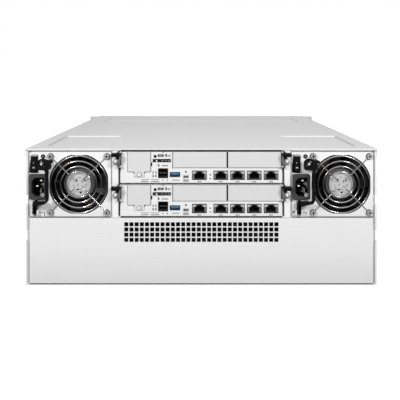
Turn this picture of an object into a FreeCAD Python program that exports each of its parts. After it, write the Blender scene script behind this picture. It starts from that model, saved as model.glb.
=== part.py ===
import FreeCAD, Part
import math
import os

Vector = FreeCAD.Vector

# Rack storage array, four units tall, seen in the photograph from behind.
# Millimetres. +X is right as seen from behind, +Y runs from the rear face to
# the drive front, +Z is up. The origin is at the middle of the underside.

# Sheet metal
wall_sheet = 1.0            # side walls, top cover, rear panel
base_sheet = 1.6            # bottom of the chassis
shelf_sheet = 1.2           # shelf and posts of the module bays
ear_sheet = 2.0             # rack ears
ledge_sheet = 1.2           # runner under the upper canister

# Clearances
slide_gap = 0.4             # between a sliding module and what carries it
post_gap = 1.8              # between a power supply and the post beside it
fit_gap = 0.15              # between a port and its cut-out
bearing_gap = 0.05          # radial, between a pin and its bore
mating_gap = 0.6            # between the connectors of a module and the midplane
panel_gap = 0.3             # beside the rear panel and the midplane board
past = 1.0                  # how far each cut runs past the face that it opens
same_plane = 1e-6           # how close to a plane still counts as lying in it

# Side wall grooves, heights above the underside
groove_depth = 3.2
low_groove_base = 55.9
low_groove_height = 14.4
high_groove_base = 102.4
high_groove_height = 12.3

# Rear vent panel and its grid of square vents
panel_height = 83.2
panel_seam = 0.8            # groove along the panel's foot
panel_lap = 0.3             # of the panel's foot on its flange, in depth
vent_size = 4.9
vent_pitch = 6.58
vent_columns = 30
vent_rows = 4
vent_height = 67.7          # middle of the grid above the underside
panel_flange = 7.4          # turned in along the panel's foot

# Top cover
cover_lip_height = 9.5
rear_lip_height = 2.4
cover_lip_gap = 0.2
pocket_depth = 2.0          # shallow pressed corners behind the posts
pocket_length = 114.0
pocket_setback = 22.0       # from the rear edge
pocket_start = 8.5          # outside the post
pocket_margin = 19.0        # inside the side wall
plateau_rise = 0.8          # pressed step over the drive cage
plateau_setback = 371.0
plateau_margin = 41.0       # inside the side wall
plateau_front = 12.0        # from the front edge

# Rack ears
ear_width = 18.3
ear_setback = 11.0          # from the front edge of the chassis
ear_leg = 36.0
ear_leg_sheet = 1.5
slot_edge = 8.75            # from the ear's outer edge to the slot's middle
slot_length = 10.0
slot_radius = 3.4
slot_spacing = 101.6
screw_head_radius = 2.6
screw_head_height = 0.6
ear_screw_count = 3
cover_screw_pitch = 53.0    # between the two pairs of cover screws
cover_screw_margin = 36.4

# Module bays, depths from the rear face
module_depth = 300.0
rear_connector_depth = 10.0
midplane_thickness = 2.4
front_connector_depth = 8.0
midplane_top_gap = 1.0
post_width = 7.4
runner_lap = 5.0            # runner under the upper canister's edge
runner_setback = 11.0

# Power supply: heights stacked from its top to its underside
psu_wall = 0.8
rocker_margin = 4.2
rocker_frame_height = 22.9
rocker_to_inlet = 1.65
inlet_height = 31.5
inlet_to_foot = 1.5
foot_height = 5.15          # the lever's foot, at the latch
foot_base = 15.8

# Power supply: widths from its left edge
control_width = 21.8        # strip with switch and mains inlet beside the fan
rocker_frame_width = 8.8
rocker_frame_edge = 1.9
inlet_width = 22.0
inlet_edge = 0.6

# Power supply switch
switch_body_depth = 14.0
switch_flange = 1.6
switch_rim = 0.8
rocker_tilt = 7.0           # degrees each way from level
rocker_crest = 3.8          # proud of the face at both ends
rocker_middle = 2.3         # proud of the face at its middle
rocker_sink = 3.0
rocker_taper = 2.0
rocker_room = 3.0           # below the rocker
rocker_pin_radius = 1.0

# Mains inlet, turned on its side
inlet_flange_depth = 4.5
inlet_body_inset = 1.5
inlet_cavity_width = 16.0
inlet_cavity_height = 24.0
inlet_cavity_depth = 18.0
inlet_floor = 2.5
inlet_chamfer = 4.5
blade_length = 14.0
blade_width = 4.0
blade_thickness = 2.0
blade_pitch = 7.0
blade_offset = 2.5

# Fan
fan_top_gap = 1.1
fan_depth = 25.0
fan_rim = 1.6
fan_flat_inset = 1.0
fan_hole_inset = 4.25
fan_hole_radius = 2.2
hub_radius = 20.0
hub_length = 18.0
blade_count = 7
fan_blade_sheet = 1.6
fan_blade_chord = 17.0
fan_blade_angle = 38.0
fan_tip_gap = 1.1
fan_shaft_radius = 1.5
fan_boss_radius = 13.0
fan_boss_depth = 3.5
fan_rotor_gap = 1.0         # between the hub and the boss behind it
strut_width = 5.0
guard_wire = 1.6
guard_inner_radius = 16.3
guard_outer_inset = 3.8     # from the fan's half size to the outer ring
guard_rings = 4
eyelet_radius = 4.2
fan_screw_radius = 2.0
fan_screw_head_radius = 3.3
fan_screw_head_height = 1.8
fan_screw_length = 12.5

# Power supply lever
lever_depth = 5.0           # thickness of grip and head, away from the face
lever_reach = 14.0          # from the face to the outside of the lever
grip_width = 3.4
grip_gap = 0.9              # from the inlet to the grip
grip_corner = 6.0           # radius where the foot turns up into the grip
eye_edge = 19.6             # eye's middle from the left edge
eye_drop = 13.6             # eye's middle below the top
eye_radius = 6.2
head_drop = 8.1             # lower edge of the head below the eye
head_right = 3.3            # head beyond the grip
head_chamfer = 1.7          # at the lower right corner
head_shoulder = 0.3         # above the eye, where the wing starts
head_crown = 4.4            # above the eye, right of the ring
wing_length = 3.2           # finger wing beyond the head's right edge
wing_rise = 1.2             # of the wing's underside towards its tip
wing_tip_height = 1.4
foot_edge = 10.0            # foot's left end from the left edge
foot_slope = 12.6           # degrees, underside of the foot
root_setback = 4.0          # from the lever's outside to the root beside the latch
knob_radius = 3.4
knob_proud = 1.0
knob_shank_radius = 1.8
knob_boss_height = 2.5
knob_boss_radius = 3.1
lever_pivot_radius = 3.2
lever_pivot_proud = 4.6
lever_pin_radius = 1.0
latch_width = 4.6
latch_edge = 5.9
latch_corner = 1.3          # cut off at the latch's upper left
latch_plate_height = 4.8
latch_plate_width = 18.3
latch_plate_sheet = 1.0
lug_width = 1.8
lug_gap = 0.3
lug_height = 6.0

# Canister: widths of its rear face from left to right
battery_edge = 9.4
battery_width = 29.0
lamp_zone = 9.8
sas_width = 12.4
sas_to_usb = 2.4
usb_width = 13.0
usb_to_micro = 3.8
micro_width = 7.3
micro_to_jack = 4.2
jack_width = 18.4
jack_count = 5
first_jack_space = 8.8
jack_space = 2.9
canister_right_edge = 5.2

# Canister: heights above its underside
canister_gap = 1.8
canister_side_gap = 2.8
canister_wall = 0.8
faceplate_sheet = 1.0
board_sheet = 1.6
board_top = 4.2
jack_height = 11.6
sas_base = 6.5
sas_height = 12.2
usb_base = 7.85
usb_height = 6.1
micro_base = 6.3
micro_height = 3.8
blank_base = 19.7
blank_margin = 0.6
blank_edge = 1.4
blank_space = 1.9
blank_past_usb = 4.4
blank_sheet = 1.6
blank_bevel = 0.6
battery_base = 14.4
battery_top_margin = 0.5
battery_tab_width = 12.3
battery_tab_edge = 8.7
battery_tab_base = 7.85
battery_sheet = 1.2
battery_screw_radius = 2.5
battery_screw_height = 1.4
battery_screw_rise = 3.7    # above the tab's lower end

# Ports
port_proud = 0.4
jack_depth = 18.0
jack_hole_width = 12.4
jack_hole_height = 7.9
jack_hole_depth = 13.5
jack_hole_base = 1.1
jack_notch_width = 4.4
jack_notch_height = 1.8
port_depth = 14.0
port_skin = 0.6
sas_tongue = 1.4
sas_tongue_length = 5.5
usb_tongue = 1.9
usb_tongue_length = 8.5
micro_depth = 6.0
micro_skin = 0.5

# Canister levers
canister_pin_radius = 1.0
canister_pivot_out = 1.4    # outside the faceplate's edge
canister_pivot_proud = 3.5
barrel_radius = 2.2
tab_drop = 1.6              # below the canister's top
tab_height = 4.0
tab_inner = 0.2             # outside the faceplate's edge
tab_length = 9.9
tab_reach = 11.5
tab_back = 2.0
thumb_out = 5.2             # thumbscrew outside the faceplate's edge
thumb_drop = 11.4
thumb_radius = 3.4
thumb_shank_radius = 1.6
thumb_back = 6.0            # inner end of the thumbscrew's head, clear of the barrel
thumb_reach = 10.4
arm_sheet = 2.0
arm_radius = 4.5
arm_back = 2.2
thumb_hole_radius = 1.7
barrel_drop = 6.5
canister_lug_height = 1.3
lug_reach = 5.4

# Inside the canister
heat_sink_size = 70.0
heat_sink_height = 22.0
heat_sink_fin = 1.6
heat_sink_fins = 12
heat_sink_foot = 4.0
standoff_size = 5.0
standoff_edge = 10.0        # from the faceplate's edge
standoff_rear = 20.0        # depth of the first row
standoff_front = 30.0       # last row from the front end
edge_connector_width = 110.0
edge_connector_height = 12.0
edge_connector_depth = 12.0

# Inside the power supply
supply_board_rise = 4.0
supply_board_sheet = 1.6
supply_board_start = 45.0   # depth of its rear edge
supply_post_start = 65.0    # depth of the rear posts under it
supply_post_setback = 40.0  # front posts from the front end
supply_sink_width = 30.0
supply_sink_height = 38.0
supply_sink_start = 50.0
supply_sink_length = 170.0
supply_plug_width = 50.0
supply_plug_height = 12.0
supply_plug_depth = 14.0
supply_vent_rows = 3
supply_vent_pitch = 11.0
supply_vent_width = 30.0
supply_vent_height = 4.9

# Drive cage and trays
tray_columns = 4
tray_rows = 6
cage_divider = 1.2
cage_shelf = 0.9
drive_length = 147.0
drive_side_gap = 0.55
drive_top_gap = 0.2
tray_side_gap = 0.5
tray_rail_width = 2.4
tray_rail_height = 14.0
tray_floor = 0.8
bezel_gap = 0.3
bezel_depth = 29.9
bezel_recess = 0.5
bezel_skin = 2.5
bezel_front_depth = 10.0
drive_to_bezel = 1.0
latch_recess_depth = 7.0
latch_recess_left = 16.0
latch_recess_right = 4.0
latch_recess_base = 9.0
latch_recess_top = 3.5
tray_lever_gap = 0.4
tray_lever_thickness = 4.0
tray_button_size = 7.2
tray_button_edge = 4.5
tray_slots = 8
tray_slot_width = 9.0
tray_slot_height = 3.6
tray_slot_base = 2.7
drive_plug_width = 44.0
drive_plug_height = 6.0
drive_plug_base = 3.5
air_window_height = 9.0
air_window_base = 13.0

# Heights, from the underside up
panel_bottom = base_sheet + panel_seam
panel_top = panel_bottom + panel_height
shelf_bottom = panel_top + slide_gap
shelf_top = shelf_bottom + shelf_sheet
bay_bottom = shelf_top + slide_gap
inlet_top = foot_base + foot_height + inlet_to_foot + inlet_height
rocker_base = inlet_top + rocker_to_inlet
psu_height = rocker_base + rocker_frame_height + rocker_margin
bay_top = bay_bottom + psu_height
cover_top = bay_top + slide_gap + wall_sheet + pocket_depth
cover_under = cover_top - wall_sheet
rear_lip_base = cover_top - rear_lip_height
canister_height = (psu_height - canister_gap) / 2
canister_bases = {"lower": bay_bottom, "upper": bay_bottom + canister_height + canister_gap}

# Widths, from the middle outwards
jack_row_width = jack_count * jack_width + first_jack_space + (jack_count - 2) * jack_space
port_row_width = sas_width + sas_to_usb + usb_width + usb_to_micro + micro_width + micro_to_jack
canister_width = (battery_edge + battery_width + lamp_zone + port_row_width
                  + jack_row_width + canister_right_edge)
canister_half = canister_width / 2
post_inner = canister_half + canister_side_gap
post_outer = post_inner + post_width
fan_size = psu_height - 2 * psu_wall - fan_top_gap
psu_width = 2 * psu_wall + control_width + fan_size
psu_inner = post_outer + post_gap
psu_outer = psu_inner + psu_width
inner_half = psu_outer + slide_gap
groove_half = inner_half + wall_sheet
body_half = groove_half + groove_depth
cover_half = body_half + cover_lip_gap + wall_sheet
rack_half = body_half + ear_width

# Depths, from the rear face
midplane_back = module_depth + mating_gap + rear_connector_depth
midplane_front = midplane_back + midplane_thickness
drive_back = midplane_front + front_connector_depth + mating_gap
bezel_back = drive_back + drive_length + drive_to_bezel
bezel_front = bezel_back + bezel_depth
body_depth = bezel_front + bezel_recess
ear_front = body_depth - ear_setback
rear_reach = lever_reach + knob_proud
rear_y = (rear_reach - body_depth) / 2


def at(depth):
    """The y of a depth in front of the rear face; a negative depth stands proud of it."""
    return rear_y + depth


def block(x, depth, z):
    """A box from its spans in x, in depth from the rear face, and in z."""
    size = Vector(x[1] - x[0], depth[1] - depth[0], z[1] - z[0])
    return Part.makeBox(size.x, size.y, size.z, Vector(x[0], at(depth[0]), z[0]))


def prism(points, direction):
    """A straight prism of a closed outline of 3-D points."""
    return Part.Face(Part.makePolygon(points + points[:1])).extrude(direction)


def rear_prism(outline, depth):
    """A prism of an outline in x and z, between two depths."""
    points = [Vector(x, at(depth[0]), z) for x, z in outline]
    return prism(points, Vector(0, depth[1] - depth[0], 0))


def side_prism(outline, x):
    """A prism of an outline in depth and z, between two x values."""
    points = [Vector(x[0], at(depth), z) for depth, z in outline]
    return prism(points, Vector(x[1] - x[0], 0, 0))


def plan_prism(outline, z):
    """A prism of an outline in x and depth, between two heights."""
    points = [Vector(x, at(depth), z[0]) for x, depth in outline]
    return prism(points, Vector(0, 0, z[1] - z[0]))


def rod_y(x, z, radius, depth):
    return Part.makeCylinder(radius, depth[1] - depth[0], Vector(x, at(depth[0]), z), Vector(0, 1, 0))


def rod_x(depth, z, radius, x):
    return Part.makeCylinder(radius, x[1] - x[0], Vector(x[0], at(depth), z), Vector(1, 0, 0))


def rod_z(x, depth, radius, z):
    return Part.makeCylinder(radius, z[1] - z[0], Vector(x, at(depth), z[0]), Vector(0, 0, 1))


def join(first, *others):
    return first.multiFuse(list(others)).removeSplitter()


def mirrored(shape):
    return shape.mirror(Vector(0, 0, 0), Vector(1, 0, 0))


def moved(shape, x=0.0, z=0.0):
    copy = shape.copy()
    copy.translate(Vector(x, 0, z))
    return copy


def save(name, pieces):
    compound = Part.makeCompound(pieces)
    compound.exportStep("parts/" + name + ".step")
    if not all(piece.isValid() for piece in pieces):
        print("not valid:", name)
    return compound


# Chassis shell: bottom, grooved side walls and the strips turned in at the rear

def wall_outline(face, groove, grow):
    """Points up one side wall, stepping in at both grooves."""
    low = (low_groove_base - grow, low_groove_base + low_groove_height + grow)
    high = (high_groove_base - grow, high_groove_base + high_groove_height + grow)
    points = [(face, 0)]
    for start, end in (low, high):
        points += [(face, start), (groove, start), (groove, end), (face, end)]
    points.append((face, cover_under))
    return points


def chassis_shell():
    outer = wall_outline(body_half, groove_half, 0)
    inner = wall_outline(body_half - wall_sheet, inner_half, wall_sheet)
    wall = rear_prism(outer + inner[::-1], (0, body_depth))
    strip_inner = inner_half + slide_gap
    strip = rear_prism(outer + [(strip_inner, cover_under), (strip_inner, 0)], (0, wall_sheet))
    base = block((-body_half, body_half), (0, body_depth), (0, base_sheet))
    shell = join(base, wall, mirrored(wall), strip, mirrored(strip))
    lip_notch = block((-cover_half, cover_half), (-past, wall_sheet + cover_lip_gap),
                      (rear_lip_base - cover_lip_gap, cover_top))
    return shell.cut(lip_notch).removeSplitter()


# Top cover: side lips, rear lip, two pressed corners and a pressed step

def top_cover():
    lip_end = ear_front - ear_leg - slide_gap
    sheet = block((-body_half, body_half), (0, body_depth), (cover_under, cover_top))
    brim = block((-cover_half, cover_half), (0, lip_end), (cover_under, cover_top))
    rear_lip = block((-cover_half, cover_half), (0, wall_sheet), (rear_lip_base, cover_top))
    lip = block((cover_half - wall_sheet, cover_half), (0, lip_end),
                (cover_top - cover_lip_height, cover_top))
    plateau_half = body_half - plateau_margin
    plateau_end = body_depth - plateau_front
    plateau = block((-plateau_half, plateau_half), (plateau_setback, plateau_end),
                    (cover_under, cover_top + plateau_rise))
    cover = join(sheet, brim, rear_lip, lip, mirrored(lip), plateau)
    inside = block((wall_sheet - plateau_half, plateau_half - wall_sheet),
                   (plateau_setback + wall_sheet, plateau_end - wall_sheet),
                   (cover_under, cover_under + plateau_rise))
    cover = cover.cut(inside)
    pocket_inner = post_outer + pocket_start
    pocket_outer = body_half - pocket_margin
    pocket_end = pocket_setback + pocket_length
    pressed = block((pocket_inner - wall_sheet, pocket_outer + wall_sheet),
                    (pocket_setback - wall_sheet, pocket_end + wall_sheet),
                    (cover_under - pocket_depth, cover_top))
    hollow = block((pocket_inner, pocket_outer), (pocket_setback, pocket_end),
                   (cover_top - pocket_depth, cover_top))
    cover = join(cover, pressed, mirrored(pressed))
    return cover.cut(hollow.fuse(mirrored(hollow))).removeSplitter()


def rear_vent_panel():
    half = inner_half - panel_gap
    panel = block((-half, half), (0, wall_sheet), (panel_bottom, panel_top))
    vents = []
    for column in range(vent_columns):
        x = (column - (vent_columns - 1) / 2) * vent_pitch - vent_size / 2
        for row in range(vent_rows):
            z = vent_height + (row - (vent_rows - 1) / 2) * vent_pitch - vent_size / 2
            vents.append(block((x, x + vent_size), (-past, wall_sheet + past), (z, z + vent_size)))
    flange = block((-half, half), (wall_sheet - panel_lap, panel_flange), (base_sheet, panel_bottom))
    return join(panel.cut(Part.makeCompound(vents)), flange)


# Bay frame: shelf, two hollow posts and the runners under the upper canister

def thumbscrew_heights():
    return [base + canister_height - thumb_drop for base in canister_bases.values()]


def bay_frame():
    shelf = block((-inner_half, inner_half), (0, midplane_back), (shelf_bottom, shelf_top))
    inner = post_inner + shelf_sheet
    outer = post_outer - shelf_sheet
    outline = [(post_inner, 0), (post_outer, 0), (post_outer, midplane_back), (outer, midplane_back),
               (outer, shelf_sheet), (inner, shelf_sheet), (inner, midplane_back),
               (post_inner, midplane_back)]
    post = plan_prism(outline, (shelf_top, rear_lip_base - cover_lip_gap))
    for height in thumbscrew_heights():
        hole = rod_y(canister_half + thumb_out, height, thumb_hole_radius, (-past, shelf_sheet + past))
        post = post.cut(hole)
    runner_base = canister_bases["upper"] - (canister_gap + ledge_sheet) / 2
    runner = block((canister_half - runner_lap, post_inner), (runner_setback, midplane_back),
                   (runner_base, runner_base + ledge_sheet))
    return [shelf, post, mirrored(post), runner, mirrored(runner)]


# Rack ears and the screws that hold them and the cover

def rack_ear():
    plate = block((body_half, rack_half), (ear_front - ear_sheet, ear_front), (0, cover_top))
    leg = block((body_half, body_half + ear_leg_sheet), (ear_front - ear_leg, ear_front),
                (0, cover_under - cover_lip_gap))
    ear = join(plate, leg)
    middle = cover_top / 2
    depth = (ear_front - ear_sheet - past, ear_front + past)
    slot_x = rack_half - slot_edge
    reach = slot_length / 2 - slot_radius
    for z in (middle - slot_spacing / 2, middle + slot_spacing / 2):
        slot = block((slot_x - reach, slot_x + reach), depth, (z - slot_radius, z + slot_radius))
        ends = [rod_y(slot_x + side * reach, z, slot_radius, depth) for side in (-1, 1)]
        ear = ear.cut(join(slot, *ends))
    return ear


def chassis_screws():
    screws = []
    cover_screw_x = body_half - cover_screw_margin
    for depth in (plateau_setback, plateau_setback + cover_screw_pitch):
        head = rod_z(cover_screw_x, depth, screw_head_radius, (cover_top, cover_top + screw_head_height))
        screws += [head, mirrored(head)]
    outside = body_half + ear_leg_sheet
    for number in range(ear_screw_count):
        height = (number + 0.5) * cover_under / ear_screw_count
        head = rod_x(ear_front - ear_leg / 2, height, screw_head_radius,
                     (outside, outside + screw_head_height))
        screws += [head, mirrored(head)]
    return screws


# Midplane board with a connector for each module and drive

def column_span(column):
    width = (2 * inner_half - (tray_columns - 1) * cage_divider) / tray_columns
    left = -inner_half + column * (width + cage_divider)
    return left, left + width


def row_span(row):
    height = (cover_under - base_sheet - (tray_rows - 1) * cage_shelf) / tray_rows
    bottom = base_sheet + row * (height + cage_shelf)
    return bottom, bottom + height


def centred(middle, width):
    return middle - width / 2, middle + width / 2


def canister_plug_span():
    return board_top, board_top + edge_connector_height


def supply_plug_span():
    base = psu_wall + supply_board_rise + supply_board_sheet
    return base, base + supply_plug_height


def midplane_board():
    half = inner_half - panel_gap
    board = block((-half, half), (midplane_back, midplane_front),
                  (base_sheet, cover_under - midplane_top_gap))
    plugs = []
    windows = []
    for column in range(tray_columns):
        middle = sum(column_span(column)) / 2
        for row in range(tray_rows):
            base = row_span(row)[0]
            plugs.append(block(centred(middle, drive_plug_width),
                               (midplane_front, midplane_front + front_connector_depth),
                               (base + drive_plug_base, base + drive_plug_base + drive_plug_height)))
            windows.append(block(centred(middle, drive_plug_width),
                                 (midplane_back - past, midplane_front + past),
                                 (base + air_window_base, base + air_window_base + air_window_height)))
    rear = (midplane_back - rear_connector_depth, midplane_back)
    for base in canister_bases.values():
        low, high = canister_plug_span()
        plugs.append(block(centred(0, edge_connector_width), rear, (base + low, base + high)))
    for left in (-psu_outer, psu_inner):
        low, high = supply_plug_span()
        plugs.append(block(centred(left + psu_width / 2, supply_plug_width), rear,
                           (bay_bottom + low, bay_bottom + high)))
    return [board.cut(Part.makeCompound(windows))] + plugs


def drive_cage():
    plates = []
    depth = (midplane_front, bezel_front)
    for column in range(tray_columns):
        left, right = column_span(column)
        if column:
            plates.append(block((left - cage_divider, left), depth, (base_sheet, cover_under)))
        for row in range(1, tray_rows):
            base = row_span(row)[0]
            plates.append(block((left, right), depth, (base - cage_shelf, base)))
    return plates


# Drive tray: U-shaped tray, drive, bezel, lever and release button

def tray_pieces():
    """One tray in the cell of the first column and the lowest row."""
    left, right = column_span(0)
    bottom, top = row_span(0)
    x0, x1 = left + tray_side_gap, right - tray_side_gap
    z0 = bottom + slide_gap
    floor = z0 + tray_floor
    rail_top = z0 + tray_rail_height
    inner0, inner1 = x0 + tray_rail_width, x1 - tray_rail_width
    outline = [(x0, z0), (x1, z0), (x1, rail_top), (inner1, rail_top),
               (inner1, floor), (inner0, floor), (inner0, rail_top), (x0, rail_top)]
    tray = rear_prism(outline, (drive_back, bezel_back))
    drive = block((inner0 + drive_side_gap, inner1 - drive_side_gap),
                  (drive_back, drive_back + drive_length), (floor, top - slide_gap - drive_top_gap))

    b0, b1 = left + bezel_gap, right - bezel_gap
    base, crown = bottom + bezel_gap, top - bezel_gap
    bezel = block((b0, b1), (bezel_back, bezel_front), (base, crown))
    hollow = block((b0 + bezel_skin, b1 - bezel_skin), (bezel_back, bezel_front - bezel_front_depth),
                   (base + bezel_skin, crown - bezel_skin))
    recess = (b0 + latch_recess_left, b1 - latch_recess_right)
    recess_z = (base + latch_recess_base, crown - latch_recess_top)
    cuts = [hollow, block(recess, (bezel_front - latch_recess_depth, bezel_front + past), recess_z)]
    button_x = (b0 + tray_button_edge, b0 + tray_button_edge + tray_button_size)
    button_z = (recess_z[0], recess_z[0] + tray_button_size)
    button_well = (button_x[0] - tray_lever_gap, button_x[1] + tray_lever_gap)
    button_well_z = (button_z[0] - tray_lever_gap, button_z[1] + tray_lever_gap)
    button_floor = bezel_front - latch_recess_depth + bezel_skin
    cuts.append(block(button_well, (button_floor, bezel_front + past), button_well_z))
    slot_pitch = (b1 - b0 - 2 * tray_button_edge) / tray_slots
    for slot in range(tray_slots):
        middle = b0 + tray_button_edge + (slot + 0.5) * slot_pitch
        cuts.append(block(centred(middle, tray_slot_width),
                          (bezel_front - bezel_front_depth - past, bezel_front + past),
                          (base + tray_slot_base, base + tray_slot_base + tray_slot_height)))
    bezel = bezel.cut(Part.makeCompound(cuts))
    lever = block((recess[0] + tray_lever_gap, recess[1]),
                  (bezel_front - tray_lever_thickness, bezel_front),
                  (recess_z[0] + tray_lever_gap, recess_z[1] - tray_lever_gap))
    button = block(button_x, (button_floor, bezel_front), button_z)
    return [tray, drive, bezel, lever, button]


# Canister: sheet case, faceplate with ports, board, covers and two levers.
# Its pieces are made with the underside at z = 0 and lifted into the bay.

sas_left = -canister_half + battery_edge + battery_width + lamp_zone
usb_left = sas_left + sas_width + sas_to_usb
micro_left = usb_left + usb_width + usb_to_micro
first_jack_left = micro_left + micro_width + micro_to_jack
jack_lefts = [first_jack_left]
for jack in range(1, jack_count):
    space = first_jack_space if jack == 1 else jack_space
    jack_lefts.append(jack_lefts[-1] + jack_width + space)


def port_spans():
    """The x and z spans of each port's shell on the faceplate."""
    spans = [((left, left + jack_width), (board_top, board_top + jack_height)) for left in jack_lefts]
    spans.append(((sas_left, sas_left + sas_width), (sas_base, sas_base + sas_height)))
    spans.append(((usb_left, usb_left + usb_width), (usb_base, usb_base + usb_height)))
    spans.append(((micro_left, micro_left + micro_width), (micro_base, micro_base + micro_height)))
    return spans


def canister_case():
    outer = block((-canister_half + slide_gap, canister_half - slide_gap),
                  (faceplate_sheet, module_depth), (0, canister_height))
    inner = block((-canister_half + slide_gap + canister_wall, canister_half - slide_gap - canister_wall),
                  (faceplate_sheet - past, module_depth + past),
                  (canister_wall, canister_height - canister_wall))
    case = outer.cut(inner)
    posts = []
    half = canister_half - standoff_edge
    for depth in (standoff_rear, module_depth / 2, module_depth - standoff_front):
        for x in (-half, 0, half):
            posts.append(block(centred(x, standoff_size), centred(depth, standoff_size),
                               (canister_wall, board_top - board_sheet)))
    return join(case, *posts)


def canister_lugs():
    """The two lugs and the pin that carry the lever on the right side."""
    x = canister_half + canister_pivot_out
    thumb_z = canister_height - thumb_drop
    low = (thumb_z - barrel_drop - lug_gap - canister_lug_height, thumb_z - barrel_drop - lug_gap)
    high = (canister_height - tab_drop + lug_gap, canister_height - tab_drop + lug_gap + canister_lug_height)
    edge = canister_half - blank_edge + fit_gap
    lugs = []
    for span in (low, high):
        lugs.append(block((edge, x + lug_width), (-lug_reach, -lug_gap), span))
        lugs.append(block((edge, canister_half), (-lug_gap, faceplate_sheet), span))
    pin = rod_z(x, -canister_pivot_proud, canister_pin_radius, (low[0], high[1]))
    return lugs + [pin]


def canister_faceplate():
    plate = block((-canister_half, canister_half), (0, faceplate_sheet), (0, canister_height))
    holes = []
    for x, z in port_spans():
        holes.append(block((x[0] - fit_gap, x[1] + fit_gap), (-past, faceplate_sheet + past),
                           (z[0] - fit_gap, z[1] + fit_gap)))
    plate = plate.cut(Part.makeCompound(holes))
    lugs = canister_lugs()
    return join(plate, *lugs, *[mirrored(lug) for lug in lugs])


def canister_board():
    edge = 2 * canister_wall
    half = canister_half - slide_gap - edge
    board = block((-half, half), (faceplate_sheet + fit_gap, module_depth - mating_gap),
                  (board_top - board_sheet, board_top))
    sink_depth = centred(module_depth / 2, heat_sink_size)
    foot_top = board_top + heat_sink_foot
    foot = block(centred(0, heat_sink_size), sink_depth, (board_top, foot_top))
    fins = []
    for fin in range(heat_sink_fins):
        x = -heat_sink_size / 2 + fin * (heat_sink_size - heat_sink_fin) / (heat_sink_fins - 1)
        fins.append(block((x, x + heat_sink_fin), sink_depth, (foot_top, board_top + heat_sink_height)))
    low, high = canister_plug_span()
    plug = block(centred(0, edge_connector_width), (module_depth - edge_connector_depth, module_depth),
                 (low, high))
    return [board, join(foot, *fins), plug]


def canister_covers():
    """The battery cover with its screw, and two blank slot covers with bevelled edges."""
    top = canister_height - battery_top_margin
    left = -canister_half + battery_edge
    plate = block((left, left + battery_width), (-battery_sheet, 0), (battery_base, top))
    tab_left = left + battery_tab_edge
    tab = block((tab_left, tab_left + battery_tab_width), (-battery_sheet, 0),
                (battery_tab_base, battery_base))
    screw_z = battery_tab_base + battery_screw_rise
    screw = rod_y(tab_left + battery_tab_width / 2, screw_z, battery_screw_radius,
                  (-battery_sheet - battery_screw_height, -battery_sheet))
    covers = [join(plate, tab), screw]
    blanks_left = usb_left + blank_past_usb
    blanks_right = canister_half - blank_edge
    width = (blanks_right - blanks_left - blank_space) / 2
    for x in (blanks_left, blanks_left + width + blank_space):
        blank = block((x, x + width), (-blank_sheet, 0), (blank_base, canister_height - blank_margin))
        rim = [edge for edge in blank.Edges
               if abs(edge.CenterOfMass.y - at(-blank_sheet)) < same_plane]
        covers.append(blank.makeChamfer(blank_bevel, rim))
    return covers


def network_jack(left):
    shell = block((left, left + jack_width), (-port_proud, jack_depth),
                  (board_top, board_top + jack_height))
    middle = left + jack_width / 2
    base = board_top + jack_hole_base
    hole = block(centred(middle, jack_hole_width), (-port_proud - past, jack_hole_depth),
                 (base, base + jack_hole_height))
    notch = block(centred(middle, jack_notch_width), (-port_proud - past, jack_hole_depth),
                  (base + jack_hole_height, base + jack_hole_height + jack_notch_height))
    return shell.cut(join(hole, notch))


def shielded_port(left, width, base, height, skin, depth, tongue, tongue_length):
    """A metal-shelled port with a tongue, on a foot that reaches the board."""
    shell = block((left, left + width), (-port_proud, depth), (base, base + height))
    hole = block((left + skin, left + width - skin), (-port_proud - past, depth - skin),
                 (base + skin, base + height - skin))
    foot = block((left + skin, left + width - skin), (faceplate_sheet + fit_gap, depth), (board_top, base))
    port = join(shell.cut(hole), foot)
    if tongue:
        middle = base + height / 2
        blade = block((left + 2 * skin, left + width - 2 * skin),
                      (depth - skin - tongue_length, depth - skin), centred(middle, tongue))
        port = join(port, blade)
    return port


def canister_ports():
    ports = [network_jack(left) for left in jack_lefts]
    ports.append(shielded_port(sas_left, sas_width, sas_base, sas_height, port_skin, port_depth,
                               sas_tongue, sas_tongue_length))
    ports.append(shielded_port(usb_left, usb_width, usb_base, usb_height, micro_skin, port_depth,
                               usb_tongue, usb_tongue_length))
    ports.append(shielded_port(micro_left, micro_width, micro_base, micro_height, micro_skin,
                               micro_depth, 0, 0))
    return ports


def canister_lever():
    """The right-hand lever: metal arm, black finger tab and captive thumbscrew."""
    x = canister_half + canister_pivot_out
    depth = -canister_pivot_proud
    tab_top = canister_height - tab_drop
    tab_base = tab_top - tab_height
    thumb_x = canister_half + thumb_out
    thumb_z = canister_height - thumb_drop
    bore = rod_z(x, depth, canister_pin_radius + bearing_gap, (0, canister_height))
    barrel = rod_z(x, depth, barrel_radius, (thumb_z - barrel_drop, tab_base))
    arm_span = (-arm_back - arm_sheet, -arm_back)
    arm = block((x, thumb_x), arm_span, (thumb_z - arm_radius, thumb_z + arm_radius))
    arm_end = rod_y(thumb_x, thumb_z, arm_radius, arm_span)
    shank_hole = rod_y(thumb_x, thumb_z, thumb_shank_radius + fit_gap, (-arm_back - arm_sheet - past, 0))
    arm = join(barrel, arm, arm_end).cut(bore).cut(shank_hole)
    tab_left = canister_half + tab_inner
    tab = block((tab_left, tab_left + tab_length), (-tab_reach, -tab_back), (tab_base, tab_top)).cut(bore)
    head = rod_y(thumb_x, thumb_z, thumb_radius, (-thumb_reach, -thumb_back))
    shank = rod_y(thumb_x, thumb_z, thumb_shank_radius, (-thumb_reach, -arm_back + mating_gap))
    return [arm, tab, join(head, shank)]


# Power supply. Its pieces are made with the lower left corner of the rear face
# at x = 0, z = 0 and moved into each bay.

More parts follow.
